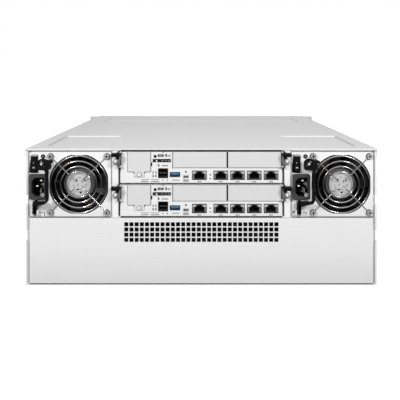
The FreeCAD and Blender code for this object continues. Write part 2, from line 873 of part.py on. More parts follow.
fan_x = psu_wall + control_width + fan_size / 2
fan_z = psu_wall + fan_size / 2
fan_hole_pitch = fan_size / 2 - fan_hole_inset
fan_bore = fan_size / 2 - fan_rim
rocker_x = rocker_frame_edge + rocker_frame_width / 2
rocker_z = rocker_base + rocker_frame_height / 2
inlet_x = inlet_edge + inlet_width / 2
inlet_base = inlet_top - inlet_height
inlet_z = inlet_top - inlet_height / 2
grip_left = inlet_edge + inlet_width + grip_gap
eye_z = psu_height - eye_drop
pivot_z = latch_plate_height + latch_plate_sheet + mating_gap
fan_corners = [(x, z) for x in (-1, 1) for z in (-1, 1)]


def switch_body_spans(grow):
    x = centred(rocker_x, rocker_frame_width - switch_rim + grow)
    return x, centred(rocker_z, rocker_frame_height - switch_rim + grow)


def inlet_body_spans(grow):
    x = centred(inlet_x, inlet_width - 2 * inlet_body_inset + grow)
    return x, centred(inlet_z, inlet_height - 2 * inlet_body_inset + grow)


def fan_opening():
    """A round opening with flats on its four sides."""
    flat = fan_size - 2 * (fan_rim + fit_gap + fan_flat_inset)
    disc = rod_y(fan_x, fan_z, fan_bore + fit_gap, (-past, psu_wall + past))
    return disc.common(block(centred(fan_x, flat), (-past, psu_wall + past), centred(fan_z, flat)))


def psu_case():
    outer = block((0, psu_width), (0, module_depth), (0, psu_height))
    inner = block((psu_wall, psu_width - psu_wall), (psu_wall, module_depth - psu_wall),
                  (psu_wall, psu_height - psu_wall))
    through = (-past, psu_wall + past)
    cuts = [inner, fan_opening()]
    for spans in (switch_body_spans(fit_gap), inlet_body_spans(fit_gap)):
        cuts.append(block(spans[0], through, spans[1]))
    for x, z in fan_corners:
        cuts.append(rod_y(fan_x + x * fan_hole_pitch, fan_z + z * fan_hole_pitch, fan_hole_radius, through))
    end = (module_depth - psu_wall - past, module_depth + past)
    middle = psu_width / 2
    low, high = supply_plug_span()
    cuts.append(block(centred(middle, supply_plug_width + fit_gap), end, (low - fit_gap, high + fit_gap)))
    for row in range(supply_vent_rows):
        vent_z = high + (row + 1) * supply_vent_pitch
        for side in (-1, 1):
            cuts.append(block(centred(middle + side * psu_width / 4, supply_vent_width), end,
                              centred(vent_z, supply_vent_height)))
    case = outer.cut(Part.makeCompound(cuts[:1]))
    for cut in cuts[1:]:
        case = case.cut(cut)
    plate = block((slide_gap, slide_gap + latch_plate_width), (-latch_plate_sheet, 0),
                  (0, latch_plate_height))
    boss = rod_y(eye_edge, eye_z, knob_boss_radius, (-knob_boss_height, 0))
    additions = [plate, boss]
    for x in (latch_edge - lug_gap - lug_width, latch_edge + latch_width + lug_gap):
        additions.append(block((x, x + lug_width), (-lever_pivot_proud - lug_width, 0),
                               centred(pivot_z, lug_height)))
    pin_span = (latch_edge - lug_gap - lug_width, latch_edge + latch_width + lug_gap + lug_width)
    additions.append(rod_x(-lever_pivot_proud, pivot_z, lever_pin_radius, pin_span))
    board_half = (psu_width - 2 * psu_wall) / 2 - slide_gap
    for x in (middle - board_half + standoff_size, middle + board_half - standoff_size):
        for depth in (supply_post_start, module_depth - supply_post_setback):
            additions.append(block(centred(x, standoff_size), centred(depth, standoff_size),
                                   (psu_wall, psu_wall + supply_board_rise)))
    return join(case, *additions)


def psu_inner_board():
    """The converter board with two heat sinks and the plug to the midplane."""
    half = (psu_width - 2 * psu_wall) / 2 - slide_gap
    middle = psu_width / 2
    base = psu_wall + supply_board_rise
    top = base + supply_board_sheet
    board = block(centred(middle, 2 * half),
                  (supply_board_start, module_depth - psu_wall - mating_gap), (base, top))
    pieces = [board]
    for side in (-1, 1):
        pieces.append(block(centred(middle + side * psu_width / 4, supply_sink_width),
                            (supply_sink_start, supply_sink_start + supply_sink_length),
                            (top, top + supply_sink_height)))
    low, high = supply_plug_span()
    pieces.append(block(centred(middle, supply_plug_width),
                        (module_depth - supply_plug_depth, module_depth), (low, high)))
    return pieces


def fan_frame():
    """The fan's square frame with struts, boss and shaft behind the blades."""
    depth = (psu_wall, psu_wall + fan_depth)
    frame = block(centred(fan_x, fan_size), depth, centred(fan_z, fan_size))
    frame = frame.cut(rod_y(fan_x, fan_z, fan_bore, (0, depth[1] + past)))
    for x, z in fan_corners:
        frame = frame.cut(rod_y(fan_x + x * fan_hole_pitch, fan_z + z * fan_hole_pitch,
                                fan_hole_radius, (0, depth[1] + past)))
    boss_depth = (depth[1] - fan_boss_depth, depth[1])
    boss = rod_y(fan_x, fan_z, fan_boss_radius, boss_depth)
    across = block(centred(fan_x, fan_size - fan_rim), boss_depth, centred(fan_z, strut_width))
    upright = block(centred(fan_x, strut_width), boss_depth, centred(fan_z, fan_size - fan_rim))
    shaft_end = boss_depth[0] - hub_length / 2
    shaft = rod_y(fan_x, fan_z, fan_shaft_radius, (shaft_end, boss_depth[0]))
    return join(frame, boss, across, upright, shaft)


def fan_guard():
    """Four wire rings, four diagonal spokes and their screw eyelets."""
    depth = (-guard_wire, 0)
    outer = fan_size / 2 - guard_outer_inset
    step = (outer - guard_inner_radius) / (guard_rings - 1)
    pieces = []
    for ring in range(guard_rings):
        radius = guard_inner_radius + ring * step
        disc = rod_y(fan_x, fan_z, radius + guard_wire / 2, depth)
        pieces.append(disc.cut(rod_y(fan_x, fan_z, radius - guard_wire / 2, depth)))
    reach = fan_hole_pitch * math.sqrt(2) - (eyelet_radius + fan_hole_radius) / 2
    for x, z in fan_corners:
        spoke = block((guard_inner_radius, reach), depth, (-guard_wire / 2, guard_wire / 2))
        spoke.rotate(Vector(0, 0, 0), Vector(0, 1, 0), math.degrees(math.atan2(-z, x)))
        pieces.append(moved(spoke, fan_x, fan_z))
        corner_x, corner_z = fan_x + x * fan_hole_pitch, fan_z + z * fan_hole_pitch
        eyelet = rod_y(corner_x, corner_z, eyelet_radius, depth)
        pieces.append(eyelet.cut(rod_y(corner_x, corner_z, fan_hole_radius, depth)))
    return join(*pieces)


def fan_screws():
    screws = []
    for x, z in fan_corners:
        corner_x, corner_z = fan_x + x * fan_hole_pitch, fan_z + z * fan_hole_pitch
        head = rod_y(corner_x, corner_z, fan_screw_head_radius,
                     (-guard_wire - fan_screw_head_height, -guard_wire))
        shank = rod_y(corner_x, corner_z, fan_screw_radius, (-guard_wire, fan_screw_length))
        screws.append(join(head, shank))
    return screws


def fan_rotor():
    start = psu_wall + fan_depth - fan_boss_depth - fan_rotor_gap - hub_length
    hub = rod_y(fan_x, fan_z, hub_radius, (start, start + hub_length))
    tip = fan_bore - fan_tip_gap
    blades = []
    for number in range(blade_count):
        blade = Part.makeBox(tip + past - hub_radius / 2, fan_blade_chord, fan_blade_sheet,
                             Vector(hub_radius / 2, -fan_blade_chord / 2, -fan_blade_sheet / 2))
        blade.rotate(Vector(0, 0, 0), Vector(1, 0, 0), fan_blade_angle)
        blade.rotate(Vector(0, 0, 0), Vector(0, 1, 0), number * 360 / blade_count)
        blade.translate(Vector(fan_x, at(start + hub_length / 2), fan_z))
        blades.append(blade)
    swept = rod_y(fan_x, fan_z, tip, (start, start + hub_length))
    rotor = join(hub, *blades).common(swept)
    bore_end = psu_wall + fan_depth
    bore = rod_y(fan_x, fan_z, fan_shaft_radius + bearing_gap,
                 (bore_end - fan_boss_depth - hub_length / 2 - fan_rotor_gap, bore_end))
    return rotor.cut(bore).removeSplitter()


def mains_inlet():
    """The inlet's body with its five-cornered cavity, three blades, and the switch body."""
    flange = block(centred(inlet_x, inlet_width), (-inlet_flange_depth, 0), centred(inlet_z, inlet_height))
    body_x, body_z = inlet_body_spans(0)
    floor = inlet_cavity_depth - inlet_flange_depth
    body = block(body_x, (0, floor + inlet_floor), body_z)
    half_width = inlet_cavity_width / 2
    half_height = inlet_cavity_height / 2
    outline = [(-half_width, inlet_chamfer - half_height), (inlet_chamfer - half_width, -half_height),
               (half_width, -half_height), (half_width, half_height),
               (inlet_chamfer - half_width, half_height), (-half_width, half_height - inlet_chamfer)]
    outline = [(inlet_x + x, inlet_z + z) for x, z in outline]
    cavity = rear_prism(outline, (-inlet_flange_depth - past, floor))
    pieces = [join(flange, body).cut(cavity)]
    for row in (-1, 0, 1):
        x = inlet_x + (blade_offset if row else -blade_offset)
        pieces.append(block(centred(x, blade_width), (floor - blade_length, floor),
                            centred(inlet_z + row * blade_pitch, blade_thickness)))
    return pieces


def switch_body():
    flange = block(centred(rocker_x, rocker_frame_width), (-switch_flange, 0),
                   centred(rocker_z, rocker_frame_height))
    spans = switch_body_spans(0)
    body = block(spans[0], (0, switch_body_depth), spans[1])
    well_x = centred(rocker_x, rocker_frame_width - 2 * switch_rim)
    well_z = centred(rocker_z, rocker_frame_height - 2 * switch_rim)
    well = block(well_x, (-switch_flange - past, rocker_sink + rocker_room), well_z)
    pin = rod_x(0, rocker_z, rocker_pin_radius, (well_x[0] - switch_rim / 2, well_x[1] + switch_rim / 2))
    return join(join(flange, body).cut(well), pin)


def power_rocker():
    """The rocker, its top pressed in."""
    half_well = rocker_frame_height / 2 - switch_rim
    half = math.sqrt((half_well - slide_gap) ** 2 - rocker_crest ** 2)
    outline = [(-rocker_crest, -half), (-rocker_middle, 0), (-rocker_crest, half),
               (rocker_sink, half - rocker_taper), (rocker_sink, rocker_taper - half)]
    outline = [(depth, rocker_z + z) for depth, z in outline]
    width = rocker_frame_width - 2 * switch_rim - 2 * slide_gap
    rocker = side_prism(outline, centred(rocker_x, width))
    bore = rod_x(0, rocker_z, rocker_pin_radius + bearing_gap, centred(rocker_x, width + 2 * past))
    rocker = rocker.cut(bore)
    rocker.rotate(Vector(rocker_x, at(0), rocker_z), Vector(1, 0, 0), -rocker_tilt)
    return rocker


def lever_head(depth):
    """The lever's head around its eye, with a short finger wing at the upper right."""
    base = eye_z - head_drop
    left = eye_edge - eye_radius
    grip_right = grip_left + grip_width
    right = grip_right + head_right
    tip = right + wing_length
    shoulder = eye_z + head_shoulder
    tip_base = shoulder + wing_rise
    crown = eye_z + head_crown
    head = rear_prism([(left, base), (grip_right, base), (right, base + head_chamfer), (right, shoulder),
                       (tip, tip_base), (tip, tip_base + wing_tip_height), (right, crown),
                       (eye_edge + eye_radius, crown), (eye_edge, eye_z + eye_radius), (left, eye_z)], depth)
    return head.fuse(rod_y(eye_edge, eye_z, eye_radius, depth))


def psu_lever():
    """Black lever: head, grip, foot and the latch at its pivot, with its thumb knob."""
    depth = (-lever_reach, lever_depth - lever_reach)
    grip_right = grip_left + grip_width
    foot_top = foot_base + foot_height
    slope = math.radians(foot_slope)
    corner_x = grip_right - grip_corner
    corner_z = foot_base + (corner_x - foot_edge) * math.tan(slope) + grip_corner / math.cos(slope)
    bend_x = corner_x + grip_corner * math.sin(slope)
    bend_z = corner_z - grip_corner * math.cos(slope)
    foot = rear_prism([(foot_edge, foot_base), (bend_x, bend_z), (bend_x, foot_top), (foot_edge, foot_top)],
                      (-lever_reach, -lever_pivot_proud))
    inside = block((corner_x - grip_corner - past, grip_left), (-lever_reach - past, 0),
                   (foot_top, corner_z + grip_corner + past))
    corner = rod_y(corner_x, corner_z, grip_corner, depth).cut(inside)
    grip = block((grip_left, grip_right), depth, (corner_z, eye_z - head_drop + past))
    latch_right = latch_edge + latch_width
    latch_left = latch_edge + latch_corner
    root = block((latch_left, foot_edge + latch_corner), (root_setback - lever_reach, -lever_pivot_proud),
                 (foot_base, foot_top))
    latch = rear_prism([(latch_edge, pivot_z), (latch_right, pivot_z), (latch_right, foot_top),
                        (latch_left, foot_top), (latch_edge, foot_top - 2 * latch_corner)],
                       (-lever_pivot_proud - lever_pivot_radius, lever_pivot_radius - lever_pivot_proud))
    heel = rod_x(-lever_pivot_proud, pivot_z, lever_pivot_radius, (latch_edge, latch_right))
    lever = join(grip, lever_head(depth), corner, foot, root, latch, heel)
    eye = rod_y(eye_edge, eye_z, knob_radius + slide_gap, (-lever_reach - past, 0))
    bore = rod_x(-lever_pivot_proud, pivot_z, lever_pin_radius + bearing_gap,
                 (latch_edge - past, latch_right + past))
    lever = lever.cut(eye).cut(bore)
    knob = rod_y(eye_edge, eye_z, knob_radius, (-rear_reach, lever_depth - lever_reach))
    shank = rod_y(eye_edge, eye_z, knob_shank_radius, (-rear_reach, -knob_boss_height - mating_gap))
    return [lever, join(knob, shank)]


os.makedirs("parts", exist_ok=True)

save("chassis_shell", [chassis_shell()])
save("top_cover", [top_cover()])
save("rear_vent_panel", [rear_vent_panel()])
save("bay_frame", bay_frame())
save("rack_ears", [rack_ear(), mirrored(rack_ear())])
save("chassis_screws", chassis_screws())
save("midplane_board", midplane_board())
save("drive_cage", drive_cage())

canister_nodes = {
    "case": [canister_case()],
    "faceplate": [canister_faceplate()],
    "board": canister_board(),
    "covers": canister_covers(),
    "ports": canister_ports(),
    "lever_right": canister_lever(),
    "lever_left": [mirrored(piece) for piece in canister_lever()],
}
for level, base in canister_bases.items():
    for name, pieces in canister_nodes.items():
        save("canister_" + level + "_" + name, [moved(piece, z=base) for piece in pieces])

psu_nodes = {
    "case": [psu_case()],
    "board": psu_inner_board(),
    "fan_frame": [fan_frame(), fan_guard()] + fan_screws(),
    "fan_rotor": [fan_rotor()],
    "inlet": mains_inlet() + [switch_body()],
    "rocker": [power_rocker()],
    "lever": psu_lever(),
}
for side, left in (("left", -psu_outer), ("right", psu_inner)):
    for name, pieces in psu_nodes.items():
        save("psu_" + side + "_" + name, [moved(piece, left, bay_bottom) for piece in pieces])

first_tray = tray_pieces()
column_pitch = column_span(1)[0] - column_span(0)[0]
row_pitch = row_span(1)[0] - row_span(0)[0]
for row in range(tray_rows):
    for column in range(tray_columns):
        name = "drive_tray_%d%d" % (row + 1, column + 1)
        save(name, [moved(piece, column * column_pitch, row * row_pitch) for piece in first_tray])
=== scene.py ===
import math

import bmesh
import bpy
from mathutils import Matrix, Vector
from mathutils.geometry import tessellate_polygon


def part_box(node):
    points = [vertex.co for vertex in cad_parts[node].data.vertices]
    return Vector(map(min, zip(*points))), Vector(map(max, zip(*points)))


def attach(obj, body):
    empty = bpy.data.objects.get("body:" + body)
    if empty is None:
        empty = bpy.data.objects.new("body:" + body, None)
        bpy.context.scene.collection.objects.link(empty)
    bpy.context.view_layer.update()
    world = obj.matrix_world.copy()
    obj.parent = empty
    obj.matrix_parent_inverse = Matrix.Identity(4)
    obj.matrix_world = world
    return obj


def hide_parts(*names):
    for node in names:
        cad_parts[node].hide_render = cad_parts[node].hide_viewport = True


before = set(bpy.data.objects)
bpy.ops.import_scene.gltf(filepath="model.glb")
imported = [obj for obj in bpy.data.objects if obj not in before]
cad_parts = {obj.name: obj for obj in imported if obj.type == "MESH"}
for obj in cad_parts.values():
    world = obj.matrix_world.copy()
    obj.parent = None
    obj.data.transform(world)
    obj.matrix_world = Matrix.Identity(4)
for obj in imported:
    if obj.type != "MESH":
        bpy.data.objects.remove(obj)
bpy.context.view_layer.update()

# The storage array's looks. Shapes are given in millimetres, from places read off the frame.
MM = 0.001

# Angles in degrees between faces, from which an edge is bevelled, or shades as a sharp one
bevel_angle = 40
sharp_angle = 50

# Camera, from the photograph's perspective
camera_place = (-0.95, -927.8, 273.1)
lens = 48.52
sensor = 36.0
shift_right = -0.0015
shift_down = -0.3238

# Lamps: name, place, aim and size in metres, and power in watts
lamps = (("key", (-0.75, -1.2, 0.78), (-0.1, -0.24, 0.1), 0.26, 11.4),
         ("fill", (0.75, -1.2, 0.78), (0.1, -0.24, 0.1), 0.26, 10.6),
         ("back", (0.1, 1.6, 1.4), (0, 0.1, 0.1), 1.4, 9))

# World and floor: the light's level, the floor's grey and the glow added to it
world_level = 0.12
floor_grey = 0.35
floor_lift = 0.9

# Fan: radii and depths, from its middle and the power supply's rear face
fan_half = 40.0
fan_hole_reach = 35.75
fan_hole_radius = 2.2
fan_bore = 38.4
fan_front = 0.8
fan_back = 25.8
boss_front = 22.3
boss_radius = 13.0
strut_width = 5.0
strut_turns = (12, -8)          # degrees at its inner and outer end
hub_radius = 20.0
hub_front = 3.3
hub_back = 21.3
label_radius = 15.7
blade_count = 7
blade_tip = 37.2
blade_middle = 12.3
blade_chord = (15.5, 21.0)      # at the hub and at the tip
blade_pitches = (46, 32)        # degrees, at the hub and at the tip
blade_sweep = 0.16
blade_section = ((-0.5, 0.15), (-0.25, 1.2), (0.0, 1.65), (0.25, 1.3), (0.5, 0.15), (0.25, 0.1),
                 (0.0, 0.15), (-0.25, 0.0))         # share of the chord, and rise
guard_radii = (16.3, 22.93, 29.57, 36.2)
guard_wire = 0.8
spoke_start = 8.0
eyelet_radius = 3.6
guard_screw_radius = 3.2
lead_radius = 0.75
lead_route = ((-31, 9.5, 14), (-27.5, 8.6, 19), (-22.5, 7.8, 23.5), (-18.5, 9.2, 27), (-14, 12, 30.5))

# Raised bars on the fan's hub: middle, width and height
hub_bars = ((-3.4, 4.5, 2.0, 3.6), (7.0, 4.5, 1.9, 3.4), (4.4, -3.7, 1.3, 2.6), (-1.8, -1.3, 1.2, 3.2),
            (3.8, 2.8, 1.1, 3.8), (-7.3, -2.2, 1.4, 1.8), (-6.1, -4.8, 1.5, 1.8), (8.5, -0.7, 3.2, 1.2),
            (7.9, -3.4, 2.4, 1.4), (0.6, 8.3, 2.6, 1.3), (1.8, -6.9, 2.2, 1.2), (-5.8, 3.1, 1.5, 1.6))

# Mains inlet and switch, from the power supply's lower left corner
inlet_size = (22.0, 31.5)
inlet_middle = (11.6, 38.2)
inlet_proud = 4.5
inlet_floor = 13.5
inlet_cavity = (16.0, 24.0)
inlet_chamfer = 4.5
inlet_body_inset = 1.5
blade_pitch = 7.0
blade_offset = 2.5
blade_size = (3.6, 1.8)
switch_size = (8.8, 22.9)
switch_middle = (6.3, 67.05)
switch_proud = 1.6
switch_rim = 0.8
switch_depth = 14.0
rocker_width = 6.4
rocker_crest = 3.8
rocker_dip = 2.3
rocker_half = 9.4
rocker_sink = 3.0
rocker_tilt = 7.0

# Vents in the lower rear panel, from the middle of the underside
vent_size = 4.9
vent_pitch = 6.58
vent_columns = 30
vent_rows = 4
vent_height = 67.7
# Width of the painted shade lining in each vent hole
vent_shade_rim = 0.12

# Power supply lever and lamp
lever_front = -14.0
lever_back = -9.0
lever_pivot = (-4.6, 6.4)
pivot_radius = 3.2
pin_bore = 1.05
grip = (23.5, 26.9)
eye = (19.6, 69.1)
eye_radius = 6.2
knob_radius = 3.4
head_base = 61.0
head_right = 30.2
head_crown = 73.5
wing_tip = (33.4, 70.6, 72.0)
foot = (10.0, 15.8, 20.95)
foot_rise = 12.6
foot_corner = (20.9, 24.4)
foot_radius = 6.0
root = (7.2, 11.3)
latch = (5.9, 10.5)
latch_heel = (7.6, 10.0)
lamp_place = (17.3, 76.3)
lamp_radius = 2.8

# Canister ports, from its middle and underside
jack_size = (18.4, 11.6)
jack_depth = 13.5
jack_back = 18.0
jack_contacts = (8, 1.02)                   # number and pitch
jack_lefts = (-11.7, 15.5, 36.8, 58.1, 79.4)
board_top = 4.2
jack_opening = (6.2, 1.1, 6.4, 8.4, 10.4)   # half width, sill, shoulder, notch foot and notch top
notch_half = 2.4
port_proud = 0.4
expansion_corner = (-54.8, 6.5)
expansion_size = (12.4, 12.2)
expansion_contacts = (9, 0.9)
usb_corner = (-40.0, 7.85)
usb_size = (13.0, 6.1)
micro_corner = (-23.2, 6.3)
micro_size = (7.3, 3.8)
port_depth = 14.0

battery_screw = (-78.75, 11.55)

# Canister levers, from the canister's middle and underside
pivot_x = 104.4
pivot_out = -3.5
tab = ((103.2, 113.1), (-11.5, -2.0), (34.85, 38.85))
barrel_base = 22.55
thumb = (108.2, 29.05)
thumb_radius = 3.4
thumb_span = (-10.4, -6.0)
arm_span = (-4.2, -2.2)
arm_radius = 4.5

# Drive tray, from its front lower left corner as seen from behind
bezel_size = (107.9, 27.17)
bezel_plate = 10.0
bezel_depth = 29.9
tray_recess = (15.9, 103.9, 9.0, 23.67)
recess_depth = 7.0
tray_slots = 8
slot_margin = 4.5
slot_size = (9.0, 3.6)
slot_base = 2.7
button_corner = (4.5, 9.0)
button_size = 7.2
bezel_skin = 2.5
tray_length = 148.0

# Boards: where the second colour of what stands on them starts
canister_parts_base = 0.1
supply_parts_base = 1.7
midplane_parts_depth = 7.9

# Chassis screws
cover_screw_x = 186.6
cover_screw_rows = (128.5, 181.5)
ear_screw_y = 228.5
screw_radius = 2.6


# Outlines

def rectangle(x, z):
    return [(x[0], z[0]), (x[1], z[0]), (x[1], z[1]), (x[0], z[1])]


def inset(span, margin):
    return (span[0] + margin, span[1] - margin)


def about(middle, half):
    return (middle - half, middle + half)


def around(middle, size):
    """The two spans of a rectangle about its middle."""
    return about(middle[0], size[0] / 2), about(middle[1], size[1] / 2)


def spans(corner, size):
    """The two spans of a rectangle from its lower left corner."""
    return (corner[0], corner[0] + size[0]), (corner[1], corner[1] + size[1])


def evenly(count, pitch):
    """Places in a row about zero."""
    return [(number - (count - 1) / 2) * pitch for number in range(count)]


def moved(points, shift, side=1):
    """Points mirrored where side is -1, then shifted."""
    return [(shift[0] + side * u, shift[1] + v) for u, v in points]


def polar(centre, radius, angle):
    """The point at an angle in degrees."""
    turn = math.radians(angle)
    return (centre[0] + radius * math.cos(turn), centre[1] + radius * math.sin(turn))


def arc(centre, radius, start, end, steps):
    """Points along an arc, angles in degrees."""
    return [polar(centre, radius, start + (end - start) * step / steps) for step in range(steps + 1)]


def circle(centre, radius, sides=32):
    return arc(centre, radius, 0, 360 - 360 / sides, sides - 1)


def rounded(x, z, radius, steps=5):
    """A rectangle with round corners."""
    corners = (((x[1] - radius, z[0] + radius), -90), ((x[1] - radius, z[1] - radius), 0),
               ((x[0] + radius, z[1] - radius), 90), ((x[0] + radius, z[0] + radius), 180))
    points = []
    for centre, start in corners:
        points += arc(centre, radius, start, start + 90, steps)
    return points


def cross(centre, reach, half):
    """A plus sign, as in a screw's recess."""
    quarter = [(reach, -half), (reach, half), (half, half)]
    points = []
    for turn in range(4):
        angle = math.radians(90 * turn)
        for u, v in quarter:
            points.append((centre[0] + u * math.cos(angle) - v * math.sin(angle),
                           centre[1] + u * math.sin(angle) + v * math.cos(angle)))
    return points


def knurled(centre, radius, groove, steps):
    """A circle with a fine toothed edge."""
    return [polar(centre, radius - (groove if step % 2 else 0), 360 * step / steps)
            for step in range(steps)]


AXES = {
    "x": lambda u, v, w: (w, u, v),
    "y": lambda u, v, w: (u, w, v),
    "z": lambda u, v, w: (u, v, w),
}


class Shape:
    """Solids in millimetres from one origin, each with its own material, that become one piece."""

    def __init__(self, origin=(0, 0, 0), flip=False):
        self.mesh = bmesh.new()
        self.materials = []
        self.origin = Vector(origin)
        self.flip = flip

    def take(self, part, material):
        """Adds a closed solid with its normals outwards."""
        if material not in self.materials:
            self.materials.append(material)
        bmesh.ops.recalc_face_normals(part, faces=part.faces)
        for face in part.faces:
            face.material_index = self.materials.index(material)
            face.smooth = True
        for vertex in part.verts:
            if self.flip:
                vertex.co.x = -vertex.co.x
            vertex.co = (vertex.co + self.origin) * MM
        if self.flip:
            bmesh.ops.reverse_faces(part, faces=part.faces)
        data = bpy.data.meshes.new("part")
        part.to_mesh(data)
        part.free()
        self.mesh.from_mesh(data)
        bpy.data.meshes.remove(data)

    def prism(self, outline, span, material, holes=(), bevel=0.0, segments=2, axis="y"):
        """A straight prism along an axis, with holes right through and rounded edges."""
        part = bmesh.new()
        place = AXES[axis]
        loops = [outline] + list(holes)
        flat = [point for loop in loops for point in loop]
        ends = [[part.verts.new(place(u, v, w)) for u, v in flat] for w in span]
        triangles = [range(len(flat))]
        if holes:
            triangles = tessellate_polygon([[Vector((u, v, 0)) for u, v in loop] for loop in loops])
        for end in ends:
            for triangle in triangles:
                part.faces.new([end[index] for index in triangle])
        start = 0
        for loop in loops:
            for index in range(len(loop)):
                a = start + index
                b = start + (index + 1) % len(loop)
                part.faces.new((ends[0][a], ends[0][b], ends[1][b], ends[1][a]))
            start += len(loop)
        bmesh.ops.recalc_face_normals(part, faces=part.faces)
        if bevel:
            sharp = [edge for edge in part.edges
                     if len(edge.link_faces) == 2 and edge.calc_face_angle() > math.radians(bevel_angle)]
            bmesh.ops.bevel(part, geom=sharp, offset=bevel, segments=segments, profile=0.5,
                            affect="EDGES", clamp_overlap=True)
        self.take(part, material)

    def block(self, x, y, z, material, bevel=0.0):
        self.prism(rectangle(x, z), y, material, bevel=bevel)

    def pad(self, middle, size, y, material, bevel=0.0):
        """A block about its middle in the rear view."""
        x, z = around(middle, size)
        self.block(x, y, z, material, bevel)

    def rod(self, centre, radius, span, material, sides=32, bevel=0.0):
        self.prism(circle(centre, radius, sides), span, material, bevel=bevel)

    def lathe(self, centre, profile, material, sides=48):
        """A closed profile of (radius, depth) turned about an axis along y."""
        part = bmesh.new()
        rings = []
        for radius, depth in profile:
            if radius == 0:
                rings.append([part.verts.new((centre[0], depth, centre[1]))] * sides)
            else:
                rings.append([part.verts.new((x, depth, z)) for x, z in circle(centre, radius, sides)])
        for index, ring in enumerate(rings):
            other = rings[(index + 1) % len(rings)]
            for side in range(sides):
                after = (side + 1) % sides
                corners = list(dict.fromkeys((ring[side], ring[after], other[after], other[side])))
                if len(corners) > 2:
                    part.faces.new(corners)
        self.take(part, material)

    def hoop(self, centre, radius, depth, wire, material, sides=72):
        """A round wire bent to a ring."""
        section = [(radius + u, depth + v) for u, v in circle((0, 0), wire, 10)]
        self.lathe(centre, section, material, sides)

    def loft(self, sections, material):
        """Sections of as many points each, joined in turn and closed at both ends."""
        part = bmesh.new()
        rings = [[part.verts.new(point) for point in section] for section in sections]
        for ring, other in zip(rings, rings[1:]):
            for index in range(len(ring)):
                after = (index + 1) % len(ring)
                part.faces.new((ring[index], ring[after], other[after], other[index]))
        part.faces.new(rings[0])
        part.faces.new(rings[-1])
        self.take(part, material)

    def wire(self, points, radius, material, sides=10):
        """A round wire through points in space."""
        points = [Vector(point) for point in points]
        sections = []
        for index, point in enumerate(points):
            before = points[max(index - 1, 0)]
            after = points[min(index + 1, len(points) - 1)]
            along = (after - before).normalized()
            aside = Vector((0, 1, 0)) if abs(along.y) < 0.9 else Vector((1, 0, 0))
            side = along.cross(aside).normalized()
            up = along.cross(side)
            sections.append([point + side * u + up * v for u, v in circle((0, 0), radius, sides)])
        self.loft(sections, material)

    def screw(self, centre, radius, base, tip, material, axis="y"):
        """A pan head from its base to its tip, with a crossed recess."""
        head = circle(centre, radius)
        recess = cross(centre, radius * 0.62, radius * 0.16)
        middle = (base + tip) / 2
        self.prism(head, sorted((base, middle)), material, axis=axis)
        self.prism(head, sorted((middle, tip)), material, [recess], radius * 0.08, axis=axis)

    def mesh_data(self, name):
        """One mesh of all the solids, with their materials."""
        data = bpy.data.meshes.new(name)
        self.mesh.to_mesh(data)
        self.mesh.free()
        for material in self.materials:
            data.materials.append(material)
        data.set_sharp_from_angle(angle=math.radians(sharp_angle))
        return data

    def make(self, name, body, replaces=()):
        place_piece(name, self.mesh_data(name), body, replaces)


def place_piece(name, data, body, replaces=(), shift=(0, 0, 0)):
    piece = bpy.data.objects.new(name, data)
    bpy.context.scene.collection.objects.link(piece)
    piece.location = Vector(shift) * MM
    normals = piece.modifiers.new("even_normals", "WEIGHTED_NORMAL")
    normals.keep_sharp = True
    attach(piece, body)
    if replaces:
        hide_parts(*replaces)


def box_mm(node):
    low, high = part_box(node)
    return low / MM, high / MM


# Materials

def add_node(tree, kind, inputs, **settings):
    """A shader node, with each input set to a number or linked to another node's output."""
    node = tree.nodes.new("ShaderNode" + kind)
    for name, value in settings.items():
        setattr(node, name, value)
    for name, value in inputs.items():
        if isinstance(value, bpy.types.NodeSocket):
            tree.links.new(value, node.inputs[name])
        else:
            node.inputs[name].default_value = value
    return node


def maths(tree, operation, *values):
    return add_node(tree, "Math", dict(enumerate(values)), operation=operation).outputs["Value"]


def noise(tree, vector, scale, detail=3.0):
    inputs = {"Scale": scale, "Detail": detail, "Vector": vector}
    return add_node(tree, "TexNoise", inputs).outputs["Fac"]


def mapped(tree, value, low, high, from_low=0.3, from_high=0.7):
    inputs = {"From Min": from_low, "From Max": from_high, "To Min": low, "To Max": high, "Value": value}
    return add_node(tree, "MapRange", inputs).outputs["Result"]


def part_of(tree, vector, axis):
    return add_node(tree, "SeparateXYZ", {"Vector": vector}).outputs[axis]


def mixed(tree, factor, first, second):
    """A colour between two, each a colour or another node's output."""
    node = add_node(tree, "Mix", {"Factor": factor}, data_type="RGBA")
    for name, colour in (("A", first), ("B", second)):
        socket = [entry for entry in node.inputs if entry.name == name and entry.type == "RGBA"][0]
        if isinstance(colour, tuple):
            socket.default_value = (*colour, 1)
        else:
            tree.links.new(colour, socket)
    return [entry for entry in node.outputs if entry.type == "RGBA"][0]


def shade(colour, factor):
    return tuple(min(1.0, part * factor) for part in colour)


